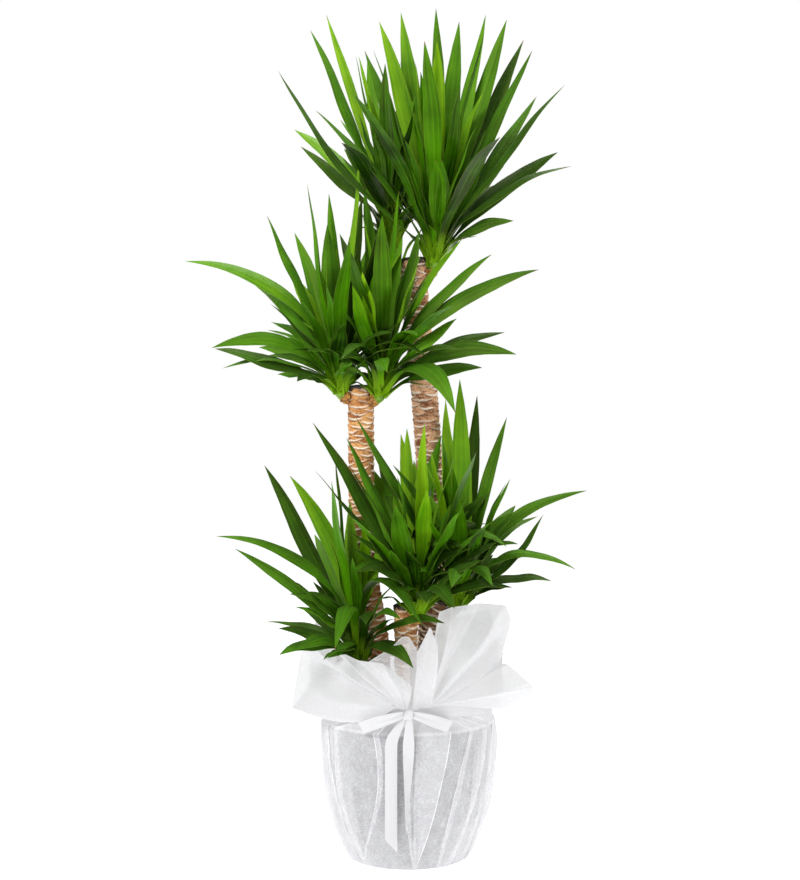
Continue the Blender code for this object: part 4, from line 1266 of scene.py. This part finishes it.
def leaf_tone_and_shading(crown, leaf, dice):
    """Outer leaves deep green, inner ones bright, brightest on the low shoots' upright leaves: partly the
    leaves' age, partly painted shade on the outer tiers and painted light on the upright ones.
    """
    tone = dice.choice(TONES_AND_SHADING[leaf.tier])
    if crown.foot[2] < 0.5:
        tone += 0.28 if leaf.rise > 74 else -0.06
    return min(tone + dice.uniform(-0.08, 0.12), 0.80)


def stub_leaves(crown, dice):
    """The small first leaves along a shoot's neck."""
    neck = max(crown.foot[2] - crown.start[1] - 0.020, 0.0)
    for order in range(8 + round(neck * 200)):
        yield Leaf(crown.phase + 40 + GOLDEN_TURN * order, dice.uniform(5, 62), dice.uniform(0.030, 0.085),
                   dice.uniform(0.02, 0.14), dice.uniform(0.010, 0.019), dice.uniform(0, 20), 0,
                   -0.35 - dice.uniform(0, 0.85 * neck) / 0.009)


# Leaves that fill a crown inside its outline: lowest and highest rise, shortest and longest
# share of the crown's longest leaf, most arch, how many for each metre of the longest.
Filling = namedtuple("Filling", "low high short long arch many")
FILLING = (Filling(4, 38, 0.24, 0.46, 0.22, 20), Filling(34, 64, 0.45, 0.66, 0.10, 24),
           Filling(60, 84, 0.62, 0.84, 0.03, 22))
TALL_FILLING = (Filling(50, 66, 0.36, 0.58, 0.06, 14), Filling(50, 70, 0.45, 0.66, 0.06, 24), FILLING[2])


def kept_inside(crown, leaf):
    """A leaf, shortened until its line stays inside the plant's own box."""
    low, high = cad_bounds
    margin = 0.004
    for _ in range(20):
        line = [leaf_frame(crown, leaf, share)[0] for share in (0.5, 0.75, 1.0)]
        if all(low[k] + margin <= spot[k] <= high[k] - margin for spot in line for k in range(3)):
            break
        leaf = leaf._replace(length=leaf.length * 0.95)
    return leaf


def clear_leaf(name, wood, draw):
    """The first of a few drawn leaves that touches neither wood nor wrap, if any does."""
    for _ in range(TRIES):
        leaf = kept_inside(CROWNS[name], draw())
        if not meets_wood(name, leaf, wood):
            return [leaf]
    return []


def filling_leaves(name, tier, wood, dice):
    crown = CROWNS[name]
    fill = (TALL_FILLING if crown.cane == "tall" else FILLING)[tier]
    count = round(crown.longest * fill.many)
    leaves = []
    for order in range(count):
        leaves += clear_leaf(name, wood, lambda: Leaf(
            crown.phase + 65 + 120 * tier + GOLDEN_TURN * order + dice.uniform(-15, 15),
            dice.uniform(fill.low, fill.high), crown.longest * dice.uniform(fill.short, fill.long),
            dice.uniform(0.3, 1) * fill.arch, dice.uniform(0.018, 0.027), dice.uniform(10, 60),
            tier, order / count))
    return leaves


def arching_leaves(name, wood, dice):
    """Middling leaves that arch over, hiding the crown's foot at its front and back."""
    longest = CROWNS[name].longest
    leaves = []
    for middle in (270, 90):
        for order in range(6):
            leaves += clear_leaf(name, wood, lambda: Leaf(
                middle + 24 * (order - 2.5) + dice.uniform(-10, 10), dice.uniform(4, 48),
                longest * dice.uniform(0.42, 0.68), dice.uniform(0.08, 0.26),
                dice.uniform(0.019, 0.026), dice.uniform(10, 50), 0, dice.uniform(0.1, 1.6)))
    return leaves


def held_up(crown, leaf):
    """The tall shoots' long lowest leaves stand a little higher than their stiff stand-ins."""
    if crown.cane == "tall" and leaf.length > 0.17 and leaf.rise < 26:
        return leaf._replace(rise=leaf.rise + 22)
    return leaf


def model_leaves():
    master = model_master_blade()
    placed, wood = grow_leaves(), wood_paths()
    for seed, (name, crown) in enumerate(CROWNS.items()):
        for tier, label in enumerate(TIERS):
            dice = random.Random(100 * seed + tier)
            own = [held_up(crown, item.leaf) for item in placed
                   if item.crown == name and item.leaf.tier == tier]
            own += filling_leaves(name, tier, wood, dice)
            if tier == 0:
                own += arching_leaves(name, wood, dice) if crown.cane != "tall" else []
                own += stub_leaves(crown, dice)
            blades = [bend_blade(master, crown, leaf, dice) for leaf in own]
            foliage = joined(f"foliage_{name}_{label}", blades)
            edit_whole(foliage, lambda: weld(0.00002))
            finish(foliage, 50, LEAF, "leaf", f"leaves_{name}_{label}")
    bpy.data.objects.remove(master)


# ---- wrap -------------------------------------------------------------------------------

# A knife pleat: its turn at the rim, halfway down and at the floor, how wide its overlap is
# there in millimetres, and which way its edge faces (1 anticlockwise seen from above).
Pleat = namedtuple("Pleat", "turns widths faces")
PLEATS = (
    Pleat((14, 12, 8), (12, 9, 5), 1), Pleat((36, 40, 44), (15, 9, 4), -1),
    Pleat((60, 60, 58), (8, 12, 7), 1), Pleat((84, 86, 90), (14, 12, 8), 1),
    Pleat((104, 106, 104), (10, 8, 6), -1), Pleat((131, 129, 134), (16, 13, 7), 1),
    Pleat((150, 156, 160), (10, 7, 3), -1), Pleat((172, 176, 181), (16, 14, 8), 1),
    Pleat((188, 191, 197), (10, 16, 10), -1), Pleat((204, 212, 223), (15, 9, 3), 1),
    Pleat((217, 219, 228), (6, 12, 7), -1), Pleat((249, 249, 226), (10, 7, 1), -1),
    Pleat((270, 269, 274.3), (9, 7, 1), -1), Pleat((286.5, 281.5, 275.8), (58, 38, 2), 1),
    Pleat((314, 302, 297), (8, 11, 5), -1), Pleat((329, 320, 307), (12, 7, 9), 1),
    Pleat((343, 338, 336), (16, 12, 6), -1),
)
LAYER = 0.0007  # between two layers of a pleat
# Across a pleat: place in half overlaps, layer, sideways nudge in millimetres, how bright (denser cloth at
# the edge, and a painted glow).
FOLD_COLUMNS = ((0.55, 1.0, 0, 0), (1.0, 1.0, -2.0, 0), (1.0, 1.0, -1.3, 1), (1.0, 0.75, 0, 1),
                (1.0, 0.5, -1.3, 1), (1.0, 0.5, -2.0, 0), (0.0, 0.5, 0, 0), (-1.0, 0.5, 2.0, 0),
                (-1.0, 0.5, 1.3, 0.6), (-1.0, 0.25, 0, 0.6), (-1.0, 0.0, 1.3, 0.6), (-1.0, 0.0, 2.0, 0),
                (-0.55, 0.0, 0, 0))
PLAIN_COLUMNS = 12
# A column of the sheet, over a pleat or on the plain cloth after it.
Column = namedtuple("Column", "kind pleat across layer nudge bright", defaults=(0, 0, 0))
UNDER_ROWS, SIDE_ROWS, TIE_ROWS, COLLAR_ROWS = 5, 58, 6, 40
OVER_RIM = 0.1507  # the fleece's radius where it leaves the pot's rim
DRAWN_FROM = POT_HEIGHT + 0.0044  # and its height there

# The fleece above the tie fans out from the knot. Each corner of its edge: the turn of the
# sheet there, its place, the turn at which its crease leaves the tie, how far it sags, how
# crumpled it is and how much of the light it stops.
Corner = namedtuple("Corner", "at edge start sag crumple layers", defaults=(0.0, 1.0, 1.0))
CORNERS = (
    Corner(20, (0.170, 0.062, 0.335), 20), Corner(42, (0.150, 0.135, 0.405), 42),
    Corner(62, (0.085, 0.165, 0.385), 62), Corner(84, (0.018, 0.172, 0.345), 84),
    Corner(105, (-0.045, 0.165, 0.340), 105), Corner(128, (-0.125, 0.150, 0.392), 130),
    Corner(148, (-0.165, 0.085, 0.396), 150), Corner(164, (-0.172, 0.030, 0.335), 172),
    Corner(178, (-0.168, -0.005, 0.300), 205),
    # the left flap, hanging over the ribbon, and the arch of the front panel
    Corner(187, (-0.180, -0.030, 0.280), 250, 0.010),
    Corner(193, (-0.197, -0.068, 0.2607), 262, 0.024), Corner(200, (-0.192, -0.052, 0.300), 262.5, 0.008),
    Corner(205, (-0.184, -0.030, 0.351), 263, 0.0), Corner(212, (-0.163, -0.055, 0.366), 264),
    Corner(219, (-0.136, -0.075, 0.369), 264.5), Corner(228, (-0.106, -0.095, 0.358), 265),
    Corner(236, (-0.083, -0.118, 0.351), 266, -0.004), Corner(246, (-0.042, -0.132, 0.348), 267, -0.012),
    Corner(254, (-0.012, -0.140, 0.327), 268.3, -0.010), Corner(260, (0.007, -0.148, 0.312), 269.5),
    # folded back behind it, then the upright strip
    Corner(262, (-0.072, -0.116, 0.345), 265.5, 0, 0.6, 0.55),
    Corner(264, (-0.026, -0.119, 0.374), 267, 0, 0.5, 0.5),
    Corner(266, (-0.0125, -0.118, 0.390), 268, 0, 0.5, 0.5),
    Corner(268, (0.000, -0.115, 0.391), 271, 0, 0.4, 0.6),
    Corner(270, (0.016, -0.112, 0.366), 274, 0, 0.4, 0.8),
    Corner(272, (0.014, -0.143, 0.368), 272, -0.008, 0.15),
    Corner(275, (0.0355, -0.143, 0.411), 274, 0, 0.15),
    Corner(280, (0.048, -0.142, 0.378), 284, 0, 0.15), Corner(283, (0.044, -0.138, 0.360), 286, 0, 0.2),
    # the tall right panel and the right flap
    Corner(286, (0.034, -0.125, 0.350), 281, 0, 0.4), Corner(290, (0.052, -0.085, 0.427), 281, 0, 0.6),
    Corner(297, (0.072, -0.078, 0.434), 282, 0, 0.7), Corner(306, (0.121, -0.060, 0.439), 283, 0, 0.7),
    Corner(316, (0.166, -0.048, 0.434), 284, 0, 0.6), Corner(321, (0.177, -0.036, 0.407), 285, 0, 0.5),
    Corner(327, (0.156, -0.046, 0.336), 286, 0, 0.5), Corner(330, (0.170, -0.060, 0.335), 287, 0, 0.5),
    Corner(338, (0.209, -0.075, 0.302), 288, 0, 0.5), Corner(341, (0.211, -0.072, 0.292), 289, 0, 0.5),
    Corner(347, (0.163, -0.056, 0.257), 296, 0, 0.6),
    Corner(353, (0.158, -0.020, 0.292), 325), Corner(360, (0.162, 0.020, 0.302), 350),
)


def turned_on(corner, degrees):
    return corner._replace(at=corner.at + degrees, start=corner.start + degrees)


ALL_ROUND = (turned_on(CORNERS[-1], -360), *CORNERS, turned_on(CORNERS[0], 360))


def three_way(values, share):
    """Through three values: at the floor (share 0), halfway and at the rim (1)."""
    top, middle, floor = values
    a = 2 * floor - 4 * middle + 2 * top
    return floor + (2 * (middle - floor) - a / 2) * share + a * share * share


def wrap_rows():
    """Each row of the sheet, from under the pot to the edge: its zone and how far through it."""
    rows = [("under", i / UNDER_ROWS) for i in range(UNDER_ROWS)]
    rows += [("side", i / SIDE_ROWS) for i in range(SIDE_ROWS)]
    rows += [("tie", i / TIE_ROWS) for i in range(TIE_ROWS)]
    return rows + [("collar", i / COLLAR_ROWS) for i in range(COLLAR_ROWS + 1)]


def pleat_here(pleat, zone, share):
    """A pleat's turn and half its overlap in metres at one row."""
    level = {"under": 0.0, "side": share, "tie": 1.0}[zone]
    half = max(three_way(pleat.widths, level), 0) / 2000
    if zone == "under":
        half *= 0.2 + 0.8 * share
    stray = 1.6 * lumpy(level * 2.4, pleat.turns[0] * 0.37, 0.5) * math.sin(math.pi * level)
    return three_way(pleat.turns, level) + stray, half


def wrap_columns():
    """Each column of the sheet: over a pleat, or on plain cloth between two of them."""
    columns = []
    for k, pleat in enumerate(PLEATS):
        for x, layer, nudge, bright in FOLD_COLUMNS:
            columns.append(Column("fold", k, x, 1 - layer if pleat.faces < 0 else layer, nudge, bright))
        columns += [Column("plain", k, (i + 1) / (PLAIN_COLUMNS + 1)) for i in range(PLAIN_COLUMNS)]
    return columns


def skirt_point(column, zone, share, pleats):
    """A point of the fleece below the tie, and its turn."""
    kind, k, x, layer, nudge, _ = column
    turn, half = pleats[k]
    radius = {"under": POT_BASE_RADIUS * max(share, 0.02), "side": pot_radius(POT_HEIGHT * share),
              "tie": TIE_RADIUS}[zone]
    if kind == "fold":
        degrees = turn + math.degrees((half * x + 0.001 * nudge * min(half / 0.005, 1)) / radius)
        plain = 0.0
    else:
        after = (k + 1) % len(PLEATS)
        next_turn, next_half = pleats[after]
        next_turn += 360 * (after == 0)
        begin = turn - math.degrees(half * 0.55 / radius)
        end = next_turn + math.degrees(next_half * 0.55 / radius)
        level = 0.0 if PLEATS[k].faces > 0 else 1.0
        next_level = 1.0 if PLEATS[after].faces > 0 else 0.0
        degrees = begin + (end - begin) * x
        layer = level + (next_level - level) * x * x * (3 - 2 * x)
        plain = math.sin(math.pi * x)
    c, s = around(degrees)
    depth = 2 * LAYER * layer
    if zone == "under":
        radius *= share > 0
        return Vector((radius * c, radius * s, 0.0015 - 0.6 * depth * share)), degrees
    if zone == "side":
        height = (POT_HEIGHT + 0.004) * share + 0.0004
        swell = math.sin(math.pi * min(share * 1.05, 1)) ** 0.6
        wave = lumpy(c * 8, s * 8, height * 5) * 0.0036
        crease = lumpy(c * 26, s * 26, height * 12 + 3) * 0.0022
        lift = max(wave + crease, -0.0006) + 0.0010 + 0.0075 * max(c - 0.55, 0) / 0.45 * share ** 3
        r = radius + 0.0008 + depth + lift * swell * (0.3 + 0.7 * plain)
        return Vector((r * c, r * s, height)), degrees
    height = DRAWN_FROM + (tie_height(degrees) - RIBBON_WIDTH / 2 - DRAWN_FROM) * share
    r = (OVER_RIM if share == 0 else TIE_RADIUS) + (depth - 2 * LAYER) * 0.7
    r += lumpy(c * 40, s * 40, 5.0) * 0.0007
    return Vector((r * c, r * s, height)), degrees


def fan_line(at):
    """The sheet above the tie at one turn, part way from one corner to the next, and how near
    it is to a fold, out (1) or in (-1)."""
    for order, (a, b) in enumerate(zip(ALL_ROUND, ALL_ROUND[1:])):
        if a.at <= at <= b.at:
            t = (at - a.at) / (b.at - a.at)
            edge = Vector(a.edge).lerp(Vector(b.edge), t)
            rest = (u + (v - u) * t for u, v in zip(a[2:], b[2:]))
            return Corner(at, edge, *rest), (1 - 2 * t) * (-1) ** order


def fan_point(at, share):
    """A point of the fleece above the tie, fanning from the tie to the sheet's edge."""
    (_, edge, start, sag, crumple, _), fold = fan_line(at)
    c, s = around(start)
    crush = lumpy(at * 0.30, 3.0, 1.0) * crumple
    near_knot = max(0.0, 1 - abs(start - 272) / 30)
    radius = TIE_RADIUS + 0.001 + 0.004 * near_knot + 0.0016 * crush
    height = tie_height(start) + RIBBON_WIDTH / 2 + 0.001
    if start < 275:
        height -= 0.006 * near_knot * (1 + 0.3 * crush)
    foot = Vector((radius * c, radius * s, height))
    spot = foot.lerp(edge, share ** 0.92)
    swell = math.sin(math.pi * share)
    out = Vector((spot.x, spot.y, 0)).normalized()
    spot.z -= sag * math.sin(math.pi * share ** 0.75)
    ridge = lumpy(at * 0.11, share * 1.1, 7.0) * 0.007 * crumple
    fine = lumpy(at * 0.42, share * 1.6, 2.0) * 0.0014 * crumple
    spot += out * ((ridge + fine) * swell ** 0.8 + (0.006 + 0.0065 * fold) * swell)
    spot.z += 0.4 * fine * swell
    # where it hangs over the ribbon it stays outside it
    turn = math.degrees(math.atan2(spot.y, spot.x))
    reach = math.hypot(spot.x, spot.y)
    over = tie_height(turn) + RIBBON_WIDTH / 2 + 0.004 - spot.z
    clear = TIE_RADIUS + 0.0035 + 0.0025 * share
    if over > 0 and reach < clear and share > 0.04:
        eased = min(over / 0.004, 1)
        spot += out * (clear - reach) * eased
    return spot


def sheet_turn(index, count):
    """The turn at which one of the sheet's columns meets its edge."""
    return (360 * (index + 0.5) / count - CORNERS[0].at) % 360 + CORNERS[0].at


def wrap_line(column, index, count, rows, pleats):
    """One column of the sheet, from under the pot up to its edge."""
    at = sheet_turn(index, count)
    line, turn = [], 0.0
    for (zone, share), here in zip(rows, pleats):
        if zone == "collar":
            line.append(fan_point(at, share))
        else:
            spot, turn = skirt_point(column, zone, share, here)
            line.append(spot)
    # between rim and tie the column shifts round to where its part of the fan starts
    first = UNDER_ROWS + SIDE_ROWS
    shift = (fan_line(at)[0].start - turn + 180) % 360 - 180
    for step in range(TIE_ROWS):
        share = (step / TIE_ROWS) ** 1.3
        spot = line[first + step]
        angle = math.atan2(spot.y, spot.x) + math.radians(shift) * share
        tie, low = tie_height(math.degrees(angle)), line[first].z
        height = low + (tie + RIBBON_WIDTH / 2 - low) * share
        drawn_in = min((height - low) / (tie - RIBBON_WIDTH / 2 - 0.001 - low), 1)
        r = math.hypot(line[first].x, line[first].y)
        r += (math.hypot(spot.x, spot.y) - 0.0012 - r) * max(drawn_in, share) if step else 0
        line[first + step] = Vector((r * math.cos(angle), r * math.sin(angle), height))
    return line


def wrap_marks(places, rows, columns, pleats):
    """At each point: how plain a fold's edge is (it also sets a painted glow there), how far up the collar
    it is, how free of the pot (where the collar takes its painted glow), and how much of the light it
    stops."""
    count, rim = len(columns), UNDER_ROWS + SIDE_ROWS
    fans = [fan_line(sheet_turn(i, count)) for i in range(count + 1)]
    for i, j in places:
        zone, share = rows[j]
        if zone == "collar":
            corner, fold = fans[i]
            sharp = 0.7 * max(abs(fold) - 0.75, 0) / 0.25 * (0.5 + lumpy(i * 0.2, share * 3, 0))
            yield sharp, share, 1.0, corner.layers
        else:
            # a fold's edge is faint where its overlap is narrow
            column = columns[i % count]
            faint = min(0.35 + pleats[j][column.pleat][1] / 0.004, 1)
            edge = max(column.bright * faint, 0.45 * (j == rim))
            yield edge, 0.0, (0.25 + 0.6 * share) * (zone == "tie"), 1.0


def model_wrap():
    rows, columns = wrap_rows(), wrap_columns()
    across, along = len(columns), len(rows) - 1
    pleats = [None if zone == "collar" else [pleat_here(pleat, zone, share) for pleat in PLEATS]
              for zone, share in rows]
    lines = [wrap_line(column, i, across, rows, pleats) for i, column in enumerate(columns)]
    lines.append(lines[0])
    sheet = flat_grid("fleece", across, along)
    places = [(round((x + 0.5) * across), round((y + 0.5) * along)) for x, y, _ in read_points(sheet)]
    place_points(sheet, [lines[i][j] for i, j in places])
    mark(sheet, list(wrap_marks(places, rows, columns, pleats)))
    edit_whole(sheet, weld, face_out)
    apply_modifier(sheet, "SOLIDIFY", thickness=0.0004, offset=-1)
    finish(sheet, 30, FLEECE, "fleece", "fleece_wrap")


# ---- ribbon -----------------------------------------------------------------------------

KNOT_HEIGHT = tie_height(270)


def ribbon(name, node, count, place):
    strip = laid_out(name, 8, count, place)
    edit_whole(strip, weld)
    apply_modifier(strip, "SOLIDIFY", thickness=0.0005, offset=0)
    finish(strip, 50, SATIN, "ribbon", node)
    return strip


def model_band():
    def place(across, along):
        degrees = 360 * along
        c, s = around(degrees)
        pucker = lumpy(c * 14, s * 14, across * 0.8)
        radius = TIE_RADIUS + 0.0009 + 0.0006 * pucker
        sway = 0.0012 * lumpy(c * 3, s * 3, 4.0)
        height = tie_height(degrees) + sway + (across - 0.5) * RIBBON_WIDTH
        return radius * c, radius * s, height

    ribbon("ribbon_round", "ribbon_band", 180, place)


def loop_place(sign, length, droop):
    """A loop out to the left (sign -1) or the right (1) of the knot and back behind itself."""
    def place(across, along):
        turn = 2 * math.pi * along
        out = 0.5 - 0.5 * math.cos(turn)
        back = 0.5 - 0.5 * math.sin(turn)
        u = across - 0.5
        half = RIBBON_WIDTH / 2 * (0.50 + 0.45 * math.sin(math.pi / 2 * min(out * 1.3, 1)))
        open_by = 0.008 * math.sin(turn) * (0.3 + 0.7 * math.sin(math.pi * min(out, 0.999)) ** 0.5)
        x = sign * (0.004 + length * out + 0.010 * u * out)
        y = BOW_FRONT - 0.003 + open_by
        y += 0.0016 * math.cos(3 * math.pi * (across + 0.1)) * (1 - out) ** 2 + 0.030 * out ** 2
        z = KNOT_HEIGHT - droop * out ** 1.2 + 2 * half * u + 0.004 * (back - 0.5) * math.sin(math.pi * out)
        return x, y, z

    return place


def left_tail(across, along):
    u = (across - 0.5) * RIBBON_WIDTH * (0.55 + 0.45 * min(along * 7, 1))
    z = KNOT_HEIGHT - 0.008 - 0.212 * along
    x = -0.006 - 0.0225 * math.sin(math.pi / 2 * min(along / 0.22, 1)) + u
    cut = 0.022 * max(along - 0.9, 0) / 0.1 * (0.5 - across)
    y = BOW_FRONT - 0.002 + 0.012 * along + 0.010 * along ** 2
    y += 0.0012 * math.sin(3.2 * math.pi * along)
    y -= 0.0010 * math.cos(math.pi * (across - 0.5)) * (1 - along)
    return x, y, z + cut


def right_tail(across, along):
    twist = math.acos(1 - max(along - 0.30, 0) / 0.72)
    u = (across - 0.5) * RIBBON_WIDTH * (0.5 + 0.42 * min(along * 5, 1))
    z = KNOT_HEIGHT - 0.008 - 0.192 * along - 0.006 * (across - 0.5) * along
    x = 0.001 - 0.0045 * along + u * math.cos(twist)
    y = BOW_FRONT - 0.004 + 0.009 * along + 0.010 * along ** 2 + u * math.sin(twist) * 0.9
    return x, y - 0.0010 * math.cos(math.pi * (across - 0.5)) * (1 - along), z


def model_bow():
    """Two loops and two tails of the same ribbon."""
    ribbon("loop_left", "bow_loop_left", 48, loop_place(-1, 0.074, 0.028))
    ribbon("loop_right", "bow_loop_right", 48, loop_place(1, 0.064, 0.026))
    ribbon("tail_left", "ribbon_tail_left", 60, left_tail)
    ribbon("tail_right", "ribbon_tail_right", 60, right_tail)


def model_knot():
    """The knot: a short wrap of ribbon drawn tight, creased where it goes in."""
    knot = primitive("knot", bpy.ops.mesh.primitive_uv_sphere_add, segments=32, ring_count=20, radius=1)
    knot.data.uv_layers[0].name = "surface"
    shaped = []
    for x, y, z in read_points(knot):
        square = 1 / max(abs(x) ** 4 + abs(y) ** 4 + abs(z) ** 4, 1e-6) ** 0.25
        x, y, z = (0.35 * v + 0.65 * v * square for v in (x, y, z))
        crease = 1 - 0.07 * math.cos(9 * x + 1.5 * z) * abs(z)
        waist = 1 + 0.10 * z * z
        lean = 0.0022 * z
        shaped.append((0.0080 * x * waist + lean, BOW_FRONT - 0.003 + 0.0070 * y * crease,
                       KNOT_HEIGHT + 0.0092 * z - 0.0012 * x * x))
    place_points(knot, shaped)
    finish(knot, 50, SATIN, "ribbon", "bow_knot")


# ---- stage ------------------------------------------------------------------------------

# An area light's name, place, aim, size and power.
LAMPS = (("key", (-1.7, -2.3, 2.7), (0, 0, 0.7), 1.4, 84), ("fill", (2.6, -1.6, 1.2), (0, 0, 0.6), 1.6, 25),
         ("top", (0.3, 0.5, 3.5), (0, 0, 0.8), 1.6, 64))


def light_world():
    """White all round to look at, softer as light, and dim in the leaves' gloss."""
    world = bpy.data.worlds.new("studio")
    world.use_nodes = True
    tree = world.node_tree
    rays = add_node(tree, "LightPath").outputs
    seen, gloss = rays["Is Camera Ray"], rays["Is Glossy Ray"]
    lit = calc(tree, "SUBTRACT", 0.34, times(tree, gloss, 0.24))
    strength = calc(tree, "ADD", times(tree, lit, calc(tree, "SUBTRACT", 1.0, seen)), seen)
    feed(tree, tree.nodes["Background"], Color=(1, 1, 1), Strength=strength)
    bpy.context.scene.world = world


def model_stage():
    """A white floor under soft lights."""
    floor = primitive("studio_floor", bpy.ops.mesh.primitive_plane_add, size=30, location=(0, 0, 0))
    material, tree, shader = new_material("studio_white")
    tone = cloudy(tree, object_place(tree), 0.8, 2.0)
    feed(tree, shader, Base_Color=mix_colour(tree, tone, (0.93, 0.93, 0.93), (0.95, 0.95, 0.95)),
         Roughness=0.9, Specular_IOR_Level=0.0, Emission_Color=(1, 1, 1), Emission_Strength=0.68)
    dress(floor, material)
    light_world()
    for name, place, aim, size, power in LAMPS:
        lamp = bpy.data.lights.new(name, "AREA")
        lamp.size, lamp.energy = size, power
        obj = bpy.data.objects.new(name, lamp)
        obj.location = place
        obj.rotation_euler = (Vector(aim) - Vector(place)).to_track_quat("-Z", "Y").to_euler()
        bpy.context.scene.collection.objects.link(obj)
    bpy.context.scene.view_settings.view_transform = "Standard"
    bpy.context.scene.cycles.transparent_max_bounces = 48


# ---- the whole plant --------------------------------------------------------------------

model_pot()
dress(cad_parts["soil"], SOIL)
model_crumbs()
model_wrap()
model_band()
model_bow()
model_knot()
for order, cane_name in enumerate(CANES):
    model_cane(cane_name, order)
    model_wax(cane_name, order)
for order, crown_name in enumerate(CROWNS):
    model_shoot(crown_name, order)
model_leaves()
model_stage()
